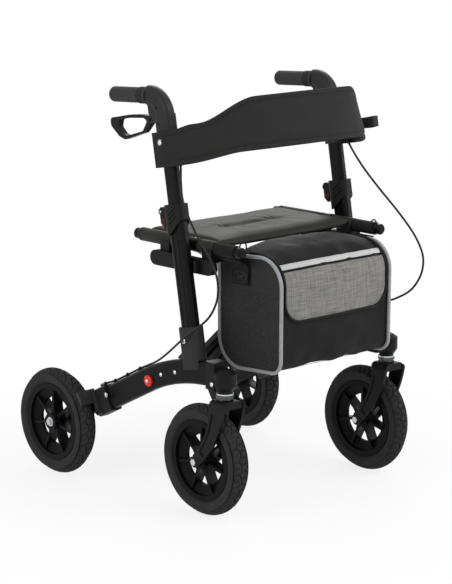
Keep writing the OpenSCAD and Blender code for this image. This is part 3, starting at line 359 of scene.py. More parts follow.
def make_finishes(context):
    """All the materials, by name."""
    c = context.scene.rollator_colours
    return {
        "frame": gloss_paint("frame_paint", c.frame_black),
        "moulding": moulding("satin_moulding", c.moulded_grey),
        "plastic": moulding("black_plastic", c.black_plastic, 0.42, 0.15, 0.13),
        "rim": moulding("rim_plastic", tint(c.black_plastic, 0.8), 0.4, 0.12, 0.07),
        "shoe": moulding("grey_brake_moulding", tint(c.moulded_grey, 1.7), 0.5),
        "grip": soft_rubber("grip_rubber", tint(c.black_plastic, 5.0)),
        "tyre": tyre_rubber("tyre_rubber", c.tyre_grey),
        "zinc": plated("bright_zinc", c.zinc),
        # The steel finish is the zinc colour cut to 0.16: bright chrome painted dark with the dark
        # surroundings it reflects, a painted reflection.
        "steel": plated("steel_painted_dark_reflection", tint(c.zinc, 0.16)),
        "lens": red_lens("reflector_lens", c.reflector_red),
        "flip": moulding("flip_red", c.flip_red, 0.4, 0.1),
        "seat": coated_seat("seat_skin", c.seat_skin),
        "band": woven("backrest_fabric", c.band_fabric, 520, 0.22, 0.7, 0.25),
        "bag": woven("bag_cloth", tint(c.bag_black, 0.8), 620, 0.3, 0.56, 0.3),
        "bag_side": woven("bag_side_cloth", c.bag_side, 620, 0.25, 0.8, 0.25),
        "mesh": open_mesh("bag_mesh", tint(c.bag_side, 1.25)),
        "piping": satin_trim("bag_piping", c.piping_grey, 0.45, 900),
        "strip": satin_trim("bright_strip", c.strip_grey, 0.4, 700),
        "pocket": melange("pocket_melange", c.pocket_grey),
        "webbing": satin_trim("black_webbing", tint(c.bag_black, 0.55), 0.7, 420),
        "loop": satin_trim("loop_webbing", tint(c.bag_black, 2.3), 0.7, 420),
        "thread": satin_trim("stitch_thread", tint(c.band_fabric, 0.6), 0.7, 1500),
        "sheath": moulding("cable_sheath", tint(c.black_plastic, 0.8), 0.38, 0.05),
    }


FINISHES = {}


def finish(name):
    if name not in FINISHES:
        FINISHES.update(make_finishes(bpy.context))
    return FINISHES[name]


def piece(name, bm, materials, body=None, replaced=(), sharp=40):
    """Turns a finished bmesh into an object that rides on a body of the frame."""
    mesh = bpy.data.meshes.new(name)
    bm.to_mesh(mesh)
    bm.free()
    mesh.shade_smooth()
    mesh.set_sharp_from_angle(angle=math.radians(sharp))
    made = bpy.data.objects.new(name, mesh)
    bpy.context.scene.collection.objects.link(made)
    for material in materials:
        mesh.materials.append(finish(material))
    if body:
        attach(made, body)
    if replaced:
        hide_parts(*replaced)
    return made


def tidy(bm, distance=1e-6):
    bmesh.ops.remove_doubles(bm, verts=bm.verts, dist=distance)
    bmesh.ops.recalc_face_normals(bm, faces=bm.faces)
    return bm


def add_tube(bm, points, radius, closed=False, sides=10):
    """A round cord along points, extruded ring by ring."""
    count = len(points)
    rings = []
    up = Vector((0, 1, 0))
    for i, point in enumerate(points):
        before = points[i - 1] if (i or closed) else point
        after = points[(i + 1) % count] if (i < count - 1 or closed) else point
        along = (after - before).normalized()
        side = along.cross(up)
        side = side.normalized() if side.length > 1e-4 else along.cross(Vector((1, 0, 0))).normalized()
        turn = Matrix((side, side.cross(along), along)).transposed().to_4x4()
        made = bmesh.ops.create_circle(
            bm, cap_ends=False, segments=sides, radius=radius, matrix=Matrix.Translation(point) @ turn)
        rings.append([e for v in made["verts"] for e in v.link_edges])
    for i in range(count if closed else count - 1):
        loops = list({*rings[i], *rings[(i + 1) % count]})
        bmesh.ops.bridge_loops(bm, edges=loops)
    if not closed:
        for ring in (rings[0], rings[-1]):
            bmesh.ops.contextual_create(bm, geom=list({v for e in ring for v in e.verts if v.is_valid}))
    bmesh.ops.recalc_face_normals(bm, faces=bm.faces)


def through(points, steps):
    """A smooth curve through chosen points."""
    last = len(points) - 1
    made = []
    for i in range(last):
        a, b, c, d = (points[min(max(k, 0), last)] for k in (i - 1, i, i + 1, i + 2))
        for k in range(steps):
            t = k / steps
            made.append(0.5 * (
                2 * b + (c - a) * t + (2 * a - 5 * b + 4 * c - d) * t * t
                + (3 * b - a - 3 * c + d) * t ** 3))
    return made + [points[-1]]


def add_stitches(bm, points, length, gap, radius):
    """Short raised stitches along a line."""
    run = 0.0
    for a, b in zip(points, points[1:]):
        step = (b - a).length
        if step < 1e-9:
            continue
        along = (b - a) / step
        while run < step:
            turn = along.to_track_quat("X", "Z").to_matrix().to_4x4()
            size = Matrix.Diagonal((length, radius * 2, radius * 2, 1))
            bmesh.ops.create_cube(bm, size=1, matrix=Matrix.Translation(a + along * run) @ turn @ size)
            run += length + gap
        run -= step


def facing(centre, axis):
    """A place whose Z axis points along an axis."""
    return Matrix.Translation(centre) @ axis.to_track_quat("Z", "Y").to_matrix().to_4x4()


def spin(bm, points, centre, axis, steps, closed=True):
    """Spins a line of points all the way round an axis."""
    verts = [bm.verts.new(point) for point in points]
    ends = verts[1:] + verts[:1] if closed else verts[1:]
    edges = [bm.edges.new(pair) for pair in zip(verts, ends)]
    bmesh.ops.spin(
        bm, geom=verts + edges, cent=centre, axis=axis, angle=2 * math.pi, steps=steps, use_merge=True)


def turned(bm, section, place, steps=28):
    """Spins a section of (radius, height) round the Z axis of a place."""
    points = [place @ Vector((r, 0, z)) for r, z in section]
    spin(bm, points, place.translation, place.to_3x3() @ Vector((0, 0, 1)), steps, False)


def dome(bm, centre, outward, radius, height):
    """A domed fastener head on a washer."""
    profile = ((1.35, 0), (1.35, 0.18), (1.0, 0.2), (0.97, 0.5), (0.8, 0.82), (0.45, 1.0), (0, 1.0))
    turned(bm, [(radius * r, height * z) for r, z in profile], facing(centre, outward), 20)


def bevel(bm, edges, offset, segments):
    bmesh.ops.bevel(
        bm, geom=edges, offset=offset, offset_type="OFFSET", affect="EDGES", segments=segments, profile=0.5,
        material=-1)


def thicken(bm, outward, thickness):
    """Turns a sheet's faces outward and gives it a thickness."""
    bmesh.ops.recalc_face_normals(bm, faces=bm.faces)
    if sum((f.normal.dot(outward) for f in bm.faces), 0.0) < 0:
        bmesh.ops.reverse_faces(bm, faces=bm.faces)
    bmesh.ops.solidify(bm, geom=list(bm.faces), thickness=thickness)


def applied(made):
    """Keeps what an object's modifiers make as its own mesh."""
    view = bpy.context.evaluated_depsgraph_get()
    made.data = bpy.data.meshes.new_from_object(made.evaluated_get(view))
    made.modifiers.clear()
    return made


def inflate(made, pressure, cap):
    """Swells a closed cloth by pressure and keeps the result, no point moving further than the cap."""
    scene = bpy.context.scene
    rest = [v.co.copy() for v in made.data.vertices]
    cloth = made.modifiers.new("swell", "CLOTH")
    cloth.settings.use_pressure = True
    cloth.settings.uniform_pressure_force = pressure
    cloth.settings.effector_weights.gravity = 0
    cloth.settings.quality = 4
    for at in range(1, 21):
        scene.frame_set(at)
    swollen = made.evaluated_get(bpy.context.evaluated_depsgraph_get())
    moved = [v.co.copy() for v in swollen.data.vertices]
    made.modifiers.remove(cloth)
    scene.frame_set(1)
    for vertex, start, end in zip(made.data.vertices, rest, moved):
        step = end - start
        vertex.co = start + step * min(1.0, cap / max(step.length, 1e-9))


def remeshed(bm, name, voxel):
    """A voxel skin over a bmesh, as a new object with its own mesh."""
    mesh = bpy.data.meshes.new(name)
    bm.to_mesh(mesh)
    bm.free()
    made = bpy.data.objects.new(name, mesh)
    bpy.context.scene.collection.objects.link(made)
    skin = made.modifiers.new("skin", "REMESH")
    skin.mode = "VOXEL"
    skin.voxel_size = voxel
    return applied(made)


class ROLLATOR_OT_stage(bpy.types.Operator):
    """Camera, soft studio light and a pale floor"""

    bl_idname = "rollator.stage"
    bl_label = "Stage"

    # Name, place, aim, width, height and power
    lamps = (
        ("key", (3.3, 0.9, 3.1), (0.05, 0, 0.45), 2.2, 2.2, 85),
        ("fill", (0.3, -3.6, 2.1), (0.05, 0, 0.5), 2.4, 2.4, 58),
        ("rim", (-2.2, 2.6, 2.6), (0.05, 0, 0.6), 2.0, 2.0, 40),
        ("streak", (2.4, 2.3, 1.3), (0.05, 0, 0.5), 0.3, 1.8, 22),
    )

    def execute(self, context):
        scene = context.scene
        scene.view_settings.view_transform = "Standard"
        lens = bpy.data.cameras.new("photo_camera")
        lens.lens, lens.sensor_width, lens.clip_end = 124.73, 36, 60
        camera = bpy.data.objects.new("photo_camera", lens)
        right = Vector((0.6772, 0.7358, -0.001)).normalized()
        up = Vector((-0.1519, 0.1411, 0.9783)).normalized()
        turn = Matrix((right, up, right.cross(up))).transposed().to_4x4()
        camera.matrix_world = Matrix.Translation((3.4434, -3.1568, 1.4250)) @ turn
        scene.collection.objects.link(camera)
        scene.camera = camera
        for lamp in self.lamps:
            self.light(scene, *lamp)
        self.world(scene)
        self.floor()
        return {"FINISHED"}

    def light(self, scene, name, place, aim, width, height, power):
        lamp = bpy.data.lights.new(name, "AREA")
        lamp.shape = "RECTANGLE"
        lamp.energy, lamp.size, lamp.size_y = power, width, height
        made = bpy.data.objects.new(name, lamp)
        made.location = place
        made.rotation_euler = (Vector(aim) - Vector(place)).to_track_quat("-Z", "Y").to_euler()
        scene.collection.objects.link(made)

    def world(self, scene):
        """White in the picture and in reflections, dimmer as light."""
        world = scene.world = bpy.data.worlds.new("studio")
        t = Tree(world)
        back = t.nodes["Background"]
        seen = t.ray("Camera").most(t.ray("Transmission")).most(t.ray("Glossy"))
        limits = {"To Min": 0.40, "To Max": 1.0}
        t.join(back.inputs["Strength"], t.node("ShaderNodeMapRange", {}, {"Value": seen, **limits}))
        t.join(back.inputs["Color"], (1, 1, 1, 1))

    def floor(self):
        """A pale floor that glows to white away from the rollator."""
        bm = bmesh.new()
        bmesh.ops.create_grid(bm, x_segments=2, y_segments=2, size=14)
        floor = piece("studio_floor", bm, ())
        t = Tree(bpy.data.materials.new("pale_floor"))
        shader = t.find("BSDF_PRINCIPLED")
        t.join(shader.inputs["Base Color"], (0.86, 0.86, 0.86, 1))
        t.join(shader.inputs["Roughness"], 0.9)
        glow = t.node("ShaderNodeEmission", {}, {"Strength": 1.0})
        seen = t.ray("Camera").most(t.ray("Glossy"))
        reach = t.node("ShaderNodeVectorMath", {"operation": "LENGTH"}, {0: t.place()}, "Value")
        limits = {"From Min": 0.25, "From Max": 1.0, "To Min": 0.80, "To Max": 1.0}
        fade = t.node("ShaderNodeMapRange", {}, {"Value": reach, **limits})
        mix = t.node("ShaderNodeMixShader", {}, {0: seen * fade, 1: Wire(t, shader.outputs[0]), 2: glow})
        t.join(t.find("OUTPUT_MATERIAL").inputs["Surface"], mix)
        floor.data.materials.append(t.owner)


class ROLLATOR_OT_frame_finishes(bpy.types.Operator):
    """Finishes on the frame's own pieces"""

    bl_idname = "rollator.frame_finishes"
    bl_label = "Frame finishes"

    looks = {
        "frame": "beam rear_arm upright inner_tube seat_rail brace_bar",
        "plastic": "seat_support caster_head height_clamp brake_lever clamp_lever fork",
        "moulding": "brake_housing socket handle",
        "zinc": "caster_stem front_axle rear_axle bolts brace_pin",
        "rim": "front_rim rear_rim", "tyre": "front_tyre rear_tyre", "grip": "grip", "shoe": "brake_arm",
        "lens": "reflector", "sheath": "cable", "seat": "seat_pad", "bag": "storage_bag", "band": "backrest",
        "webbing": "webbing_straps cane_loop",
    }

    def execute(self, context):
        by_node = {node: look for look, nodes in self.looks.items() for node in nodes.split()}
        for name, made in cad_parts.items():
            plain = name.removeprefix("left_").removeprefix("right_")
            made.data.materials.clear()
            made.data.materials.append(finish(by_node[plain]))
        return {"FINISHED"}


class ROLLATOR_OT_tyres(bpy.types.Operator):
    """Four tyres with ribbed walls and a blocky shoulder tread"""

    bl_idname = "rollator.tyres"
    bl_label = "Tyres"

    def execute(self, context):
        sizes = context.scene.rollator_sizes
        for side, _ in SIDES:
            for end in ("front", "rear"):
                node = f"{side}_{end}_tyre"
                low, high = corners(node)
                bm = bmesh.new()
                self.carcass(bm, (high.z - low.z) / 2, (high.y - low.y) / 2, sizes)
                bmesh.ops.translate(bm, verts=bm.verts, vec=(low + high) / 2)
                piece(f"{side}_{end}_tread_tyre", bm, ("tyre",), f"{side}_{end}_wheel", (node,), 28)
        return {"FINISHED"}

    def carcass(self, bm, radius, half, sizes):
        """The tyre's section, spun round the axle, with its tread raised on the crown."""
        crown = radius - sizes.tread_depth
        wall = [
            (-0.34, 0.680), (-0.36, 0.712), (-0.62, 0.728), (-0.66, 0.745), (-0.80, 0.765), (-0.90, 0.782),
            (-0.91, 0.790), (-0.955, 0.806), (-0.965, 0.835), (-1.0, 0.862), (-0.985, 0.905), (-0.95, 0.927),
        ]
        across = [k / 14 * 0.9 for k in range(-14, 15)]
        tread = [(t, math.sqrt(1 - (t / 1.96) ** 2) - 0.11 * abs(t) ** 7) for t in across]
        section = wall + tread + [(-y, r) for y, r in reversed(wall)]
        spin(bm, [(r * crown, y * half, 0) for y, r in section], (0, 0, 0), (0, 1, 0), 312)
        tidy(bm)
        for v in bm.verts:
            reach = math.hypot(v.co.x, v.co.z)
            share = v.co.y / half
            if abs(share) < 0.92 and reach > 0.84 * crown:
                grow = 1 + sizes.tread_depth * self.raised(share, math.atan2(v.co.z, v.co.x), sizes) / reach
                v.co.x, v.co.z = v.co.x * grow, v.co.z * grow

    def raised(self, share, turn, sizes):
        """1 on a block and 0 in a groove: scalloped shoulders, two wavy grooves and short cross cuts."""
        wave = math.sin(sizes.tread_blocks * turn + (0 if share > 0 else math.pi))
        side = abs(share)
        if side > 0.79 + 0.11 * wave:
            return 0.0
        if abs(side - 0.30 - 0.09 * wave) < 0.045:
            return 0.0
        cut = (sizes.tread_blocks * turn / math.pi + 1.3 * side) % 1
        if cut < 0.2 and (side > 0.40 or side < 0.16):
            return 0.1
        return 1.0


class ROLLATOR_OT_seat(bpy.types.Operator):
    """Padded sling seat with sleeves over the rails"""

    bl_idname = "rollator.seat"
    bl_label = "Seat"

    strap_reach = 0.076
    hem = ((0, 0.0003), (0, 0.0022), (0.0022, 0.003), (0.010, 0.0031), (0.0112, 0.0024), (0.0124, 0.0031))

    def execute(self, context):
        low, high = corners("seat_pad")
        self.mid = (low.x + high.x) / 2
        cushion = self.cushion(low, high)
        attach(cushion, "right_rail")
        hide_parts("seat_pad")
        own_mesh(cushion)
        for side, sign in SIDES:
            self.sleeve(side, sign, low, high)
        return {"FINISHED"}

    def cushion(self, low, high):
        half_y, half_x = RAIL_Y - RAIL_R - 0.0015, (high.x - low.x) / 2 - 0.004
        top = high.z - 0.0055
        bottom = low.z + 0.0008
        bm = bmesh.new()
        bmesh.ops.create_cube(bm, size=1, matrix=Matrix.Translation((self.mid, 0, (top + bottom) / 2))
                              @ Matrix.Diagonal((2 * half_x, 2 * half_y, top - bottom, 1)))
        bevel(bm, list(bm.edges), 0.0042, 3)
        made = remeshed(bm, "seat_cushion", 0.004)
        inflate(made, 4.0, 0.003)
        for vertex in made.data.vertices:
            self.sew(vertex, half_x, half_y, top)
        soft = made.modifiers.new("soft", "SUBSURF")
        soft.levels = soft.render_levels = 1
        made.data.shade_smooth()
        made.data.materials.append(finish("seat"))
        return applied(made)

    def sew(self, vertex, half_x, half_y, top):
        """Draws in the edges and presses the strap's channel and its creases into the top."""
        co = vertex.co
        u, v = (co.x - self.mid) / half_x, co.y / half_y
        co.x -= 0.006 * u * (1 - v ** 4)
        co.z -= 0.006 * smooth_step(0.72, 1.0, u) * (1 - v ** 4)
        if co.z < top - 0.010:
            return
        crown = 0.0028 * (1 - u ** 4) * (1 - v ** 4)
        run = max(abs(co.y) - self.strap_reach, 0.0)
        dx = abs(co.x - self.mid)
        channel = math.exp(-(dx / 0.013) ** 2) * math.exp(-(run / 0.02) ** 2) * 0.0075
        tip = Vector((co.x - self.mid, abs(co.y) - self.strap_reach))
        away = tip.length
        rays = math.sin(math.atan2(tip.y, tip.x) * 7 + (2 if co.y > 0 else 0)) * math.exp(-away / 0.045)
        rumple = noise.noise(Vector((co.x * 16, co.y * 11, 2.0))) * 0.0012
        co.z += crown - channel + rays * 0.0016 * min(1.0, away / 0.012) + rumple

    def sleeve(self, side, sign, low, high):
        """The hem that turns round a rail, with a gap for the brace's eye."""
        eye_low, eye_high = corners("left_brace_bar" if sign < 0 else "right_brace_bar")
        bm = bmesh.new()
        for start, stop in ((low.x, eye_low.x - 0.002), (eye_high.x + 0.002, high.x)):
            section = [(start + inset, RAIL_R + rise) for inset, rise in self.hem]
            section += [(stop - inset, RAIL_R + rise) for inset, rise in reversed(self.hem)]
            centre = Vector((0, sign * RAIL_Y, RAIL_Z))
            spin(bm, [centre + Vector((x, 0, r)) for x, r in section], centre, (1, 0, 0), 32)
        tidy(bm)
        piece(f"{side}_seat_hem", bm, ("seat",), f"{side}_rail", sharp=50)


class ROLLATOR_OT_bag(bpy.types.Operator):
    """Storage bag with mesh sides, piping, a bright strip and a woven pocket"""

    bl_idname = "rollator.bag"
    bl_label = "Bag"

    def execute(self, context):
        sizes = context.scene.rollator_sizes
        self.low, self.high = corners("storage_bag")
        self.half = self.high.y - 0.004
        self.outline = self.side_outline()
        self.lengths = [0.0]
        for a, b in zip(self.outline, self.outline[1:]):
            self.lengths.append(self.lengths[-1] + (b - a).length)
        body = self.shell()
        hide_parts("storage_bag")
        made = [body, self.strip(), self.pocket(), self.binding(), self.seam()]
        for side, sign in SIDES:
            made += [self.panel(side, sign), self.piping(side, sign, sizes.piping_radius)]
        for one in made:
            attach(one, "right_rail")
            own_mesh(one)
        return {"FINISHED"}

    def side_outline(self):
        """The bag's side view, from the front's foot up, over the top and down the back."""
        low, high = self.low, self.high
        bends = (
            (Vector((high.x - 0.008, 0, low.z + 0.013)), 0.030),
            (Vector((high.x - 0.006, 0, high.z - 0.003)), 0.062),
            (Vector((low.x + 0.002, 0, high.z - 0.017)), 0.018),
            (Vector((low.x + 0.002, 0, low.z + 0.001)), 0.066),
        )
        points = []
        for i, (corner, radius) in enumerate(bends):
            back = (bends[i - 1][0] - corner).normalized()
            ahead = (bends[(i + 1) % len(bends)][0] - corner).normalized()
            half = back.angle(ahead) / 2
            reach = radius / math.tan(half)
            hub = corner + (back + ahead).normalized() * radius / math.sin(half)
            start, stop = corner + back * reach - hub, corner + ahead * reach - hub
            for k in range(9):
                t = k / 8
                points.append(hub + (start * (1 - t) + stop * t).normalized() * radius)
        return [p for i, p in enumerate(points) for p in self.filled(p, points[(i + 1) % len(points)])]

    def filled(self, a, b):
        """Breaks a long straight stretch into short ones."""
        steps = max(1, int((b - a).length / 0.007))
        return [a.lerp(b, k / steps) for k in range(steps)]

    def at(self, run):
        """The outline's point and outward normal at a run from its start."""
        for i in range(len(self.outline) - 1):
            if self.lengths[i + 1] >= run:
                a, b = self.outline[i], self.outline[i + 1]
                t = (run - self.lengths[i]) / max(self.lengths[i + 1] - self.lengths[i], 1e-9)
                along = (b - a).normalized()
                return a.lerp(b, t), Vector((along.z, 0, -along.x))
        return self.outline[-1], Vector((0, 0, 1))

    def belly(self, y, point, normal):
        """How far the cloth stands out: a bellied front and a lid that humps up to the seat."""
        inner = max(1 - (y / self.half) ** 2, 0)
        flat = max(1 - (y / self.half) ** 8, 0)
        level = math.sin(math.pi * min(max((point.z - self.low.z) / (self.high.z - self.low.z), 0), 1))
        hump = smooth_step(0.204, 0.244, point.x) * (1 - smooth_step(0.25, 0.365, point.x))
        hump *= max(normal.z, 0)
        return 0.006 * inner * level + (0.016 * flat + 0.010 * inner) * hump

    def crease(self, point):
        """Loose cloth: long slack folds and small ones."""
        slack = noise.noise(Vector((point.x * 9, point.y * 7 + point.z * 6, point.z * 9)))
        ridge = abs(noise.noise(Vector((point.x * 14, point.y * 12 + point.z * 15, point.z * 7 + 3))))
        small = noise.noise(Vector((point.x * 34, point.y * 26 - point.z * 20, point.z * 30 + 5)))
        edge = 1 - (point.y / self.half) ** 6
        return (slack * 0.0044 + (0.35 - ridge) * 0.0082 + small * 0.0026) * edge

    def front(self, y, run, lift):
        point, normal = self.at(run)
        place = Vector((point.x, y, point.z)) + normal * (self.belly(y, point, normal) - 0.004)
        return place + normal * (lift + 0.35 * self.crease(place))

    def shell(self):
        """The cloth between the two side panels."""
        bm = bmesh.new()
        rows = 56
        bmesh.ops.create_grid(bm, x_segments=rows, y_segments=len(self.outline), size=1)
        levels = sorted({round(v.co.y, 5) for v in bm.verts})
        order = {level: i for i, level in enumerate(levels)}
        count = len(self.outline)
        for v in bm.verts:
            i = order[round(v.co.y, 5)]
            y = v.co.x * self.half
            point = self.outline[i % count]
            before, after = self.outline[i % count - 1], self.outline[(i + 1) % count]
            along = (after - before).normalized()
            normal = Vector((along.z, 0, -along.x))
            place = Vector((point.x, y, point.z)) + normal * (self.belly(y, point, normal) - 0.004)
            v.co = place + normal * self.crease(place)
        tidy(bm, 1e-5)
        return piece("bag_shell", bm, ("bag",), sharp=60)

    def panel(self, side, sign):
        """A side panel: mesh below, smooth cloth above, bellied a little."""
        bm = bmesh.new()
        verts = [bm.verts.new((p.x, sign * (self.half - 0.001), p.z)) for p in self.outline]
        face = bm.faces.new(verts)
        for _ in range(5):
            bmesh.ops.inset_region(bm, faces=[face], thickness=0.013, use_even_offset=True)
        seam = self.high.z - 0.083
        bmesh.ops.triangulate(bm, faces=[face])
        everything = list(bm.verts) + list(bm.edges) + list(bm.faces)
        bmesh.ops.bisect_plane(bm, geom=everything, plane_co=(0, 0, seam), plane_no=(0, 0, 1))
        centre = (self.low + self.high) / 2
        for v in bm.verts:
            reach = max(abs(v.co.x - centre.x) / 0.104, abs(v.co.z - centre.z) / 0.137)
            ruck = noise.noise(Vector((v.co.x * 18, sign * 3, v.co.z * 14))) * 0.0016
            v.co.y += sign * (0.0035 * (1 - min(reach, 1) ** 3) + ruck * (1 - min(reach, 1) ** 4))
        for f in bm.faces:
            f.material_index = 0 if f.calc_center_median().z < seam else 1
        thicken(bm, Vector((0, sign, 0)), 0.001)
        return piece(f"{side}_bag_panel", bm, ("mesh", "bag_side"), sharp=60)

    def piping(self, side, sign, radius):
        bm = bmesh.new()
        points = [Vector((p.x, sign * (self.half + 0.0002), p.z)) for p in self.outline]
        add_tube(bm, points, radius, True, 8)
        return piece(f"{side}_bag_piping", bm, ("piping",), sharp=80)

    def patch(self, name, low_run, high_run, half_at, lift, material, columns=40, rows=14):
        """A thin patch of cloth on the bag's front."""
        bm = bmesh.new()
        bmesh.ops.create_grid(bm, x_segments=columns, y_segments=rows, size=1)
        for v in bm.verts:
            t = (v.co.y + 1) / 2
            run = low_run + (high_run - low_run) * t
            edge = 1 - max(abs(v.co.x), abs(v.co.y)) ** 12
            v.co = self.front(v.co.x * half_at(run - low_run), run, lift * (0.35 + 0.65 * edge))
        thicken(bm, Vector((1, 0, 0)), 0.0014)
        return piece(name, bm, (material,), sharp=50)

    strip_run = (0.249, 0.2635)
    pocket_run = (0.128, 0.2425)
    lid_end = 0.352

    def pocket_half(self, rise):
        corner = 0.047
        reach = 0.160
        if rise >= corner:
            return reach
        return reach - corner + math.sqrt(corner ** 2 - (corner - rise) ** 2)

    def strip(self):
        return self.patch("bag_strip", *self.strip_run, lambda rise: 0.166, 0.0030, "strip", 44, 4)

    def pocket(self):
        return self.patch("bag_pocket", *self.pocket_run, self.pocket_half, 0.0052, "pocket", 44, 26)

    def binding(self):
        """Black edging of the lid, round the pocket's foot and up over the top."""
        low_run = self.pocket_run[0]
        rises = [(self.lid_end - low_run) * (k / 40) ** 1.6 for k in range(41)]
        left = [self.front(-self.pocket_half(r), low_run + r, 0.003) for r in reversed(rises)]
        foot = [self.front(y / 20 * self.pocket_half(0), low_run, 0.003) for y in range(-18, 19, 2)]
        right = [self.front(self.pocket_half(r), low_run + r, 0.003) for r in rises]
        bm = bmesh.new()
        add_tube(bm, left + foot + right, 0.0034, False, 8)
        return piece("bag_pocket_binding", bm, ("bag",), sharp=80)

    def seam(self):
        """Thread on both sides of the strip and along the foot."""
        bm = bmesh.new()
        for run in (0.2455, 0.2665, 0.012):
            line = [self.front(self.half * 0.97 * k / 30, run, 0.0012) for k in range(-30, 31)]
            add_stitches(bm, line, 0.0036, 0.0016, 0.00045)
        return piece("bag_stitching", bm, ("thread",))


class ROLLATOR_OT_backrest(bpy.types.Operator):
    """Padded backrest strip with a stitched border"""

    bl_idname = "rollator.backrest"
    bl_label = "Backrest"

    half = 0.2823
    reach = 0.190
    straight = 0.012
    back = -0.022
    low_s = 0.457
    end_h = 0.078
    mid_h = 0.131

    def path(self, u):
        """Place and outward direction along the strip, from the left end to the right."""
        straight_l = self.straight - self.back
        arc_l = math.pi * math.sqrt((self.half ** 2 + self.reach ** 2) / 2)
        run = u * (2 * straight_l + arc_l)
        if run < straight_l:
            return Vector((self.back + run, self.half)), Vector((0, 1))
        if run > straight_l + arc_l:
            return Vector((self.straight - (run - straight_l - arc_l), -self.half)), Vector((0, -1))
        turn = math.pi * (run - straight_l) / arc_l
        out = Vector((math.sin(turn) / self.reach, math.cos(turn) / self.half)).normalized()
        return Vector((self.straight + self.reach * math.sin(turn), self.half * math.cos(turn))), out

    def edges(self, y):
        """The heights of the strip's two edges along the upright, at a distance across."""
        lift = 1 - smooth_step(self.half - 0.099, self.half, abs(y))
        rise = 1 - smooth_step(self.half - 0.137, self.half - 0.002, abs(y))
        fuller = 0.0065 * math.exp(-((self.turned(y) - 20) / 8) ** 2)
        return self.low_s + 0.014 * lift, self.low_s + self.end_h + (self.mid_h - self.end_h) * rise + fuller

    def turned(self, y):
        """How far the strip has turned from its end, in degrees, up to 90 at the middle."""
        return math.degrees(math.acos(min(1, abs(y) / self.half)))

    def execute(self, context):
        sizes = context.scene.rollator_sizes
        self.seam = sizes.seam_inset
        self.thick = sizes.band_thickness
        bm = bmesh.new()
        columns = 150
        marks = self.marks()
        for face_side in (1, -1):
            made = bmesh.ops.create_grid(bm, x_segments=columns, y_segments=len(marks) - 1, size=1)
            rows = sorted({round(v.co.y, 5) for v in made["verts"]})
            for v in made["verts"]:
                v.co = self.skin((v.co.x + 1) / 2, marks[rows.index(round(v.co.y, 5))], face_side)
        bmesh.ops.bridge_loops(bm, edges=[e for e in bm.edges if e.is_boundary])
        tidy(bm)
        band = piece("backrest_strip", bm, ("band",), "right_handle", ("backrest",), 70)
        for one in (band, self.stitches()):
            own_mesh(one)
        return {"FINISHED"}

    def marks(self):
        """Heights across the strip: millimetres from an edge near the borders, shares in between."""
        border = [0, 0.0012, 0.0035, 0.0075, 0.0102, 0.0115, 0.0128, 0.0155, 0.019]
        middle_rows = [k / 12 for k in range(1, 12)]
        lower, upper = [("low", d) for d in border], [("high", d) for d in reversed(border)]
        return lower + [("mid", t) for t in middle_rows] + upper

    def height(self, low, high, mark):
        kind, value = mark
        if kind == "low":
            return low + value, value
        if kind == "high":
            return high - value, value
        s = low + 0.019 + (high - low - 0.038) * value
        return s, min(s - low, high - s)

    def skin(self, u, mark, face_side):
        place, out = self.path(u)
        low, high = self.edges(place.y)
        s, inset = self.height(low, high, mark)
        run = min(u, 1 - u) * 0.83
        inset = min(inset, run)
        edge = math.sqrt(max(0.0, 1 - (1 - min(inset / 0.0035, 1)) ** 2))
        swell = smooth_step(self.seam, self.seam + 0.012, inset)
        groove = math.exp(-((inset - self.seam) / 0.0016) ** 2)
        ripple = noise.noise(Vector((u * 26, s * 20, face_side * 4))) * 0.0005 * swell
        thick = self.thick / 2 * (0.30 + 0.38 * edge + 0.32 * swell - 0.26 * groove) + ripple
        turn = self.turned(place.y)
        drawn = 0.011 * smooth_step(0, 20, turn) * (1 - smooth_step(35, 65, turn))
        off = face_side * thick - drawn * smooth_step(self.low_s, self.low_s + 0.09, s)
        return leaning(place.x + off * out.x, place.y + off * out.y, s)

    def stitches(self):
        """Two faces' worth of thread along the border's groove."""
        bm = bmesh.new()
        for face_side in (1, -1):
            for kind in ("low", "high"):
                line = [self.skin(0.016 + 0.968 * k / 160, (kind, self.seam), face_side) for k in range(161)]
                add_stitches(bm, line, 0.0034, 0.0016, 0.00055)
        return piece("backrest_stitching", bm, ("thread",), "right_handle")


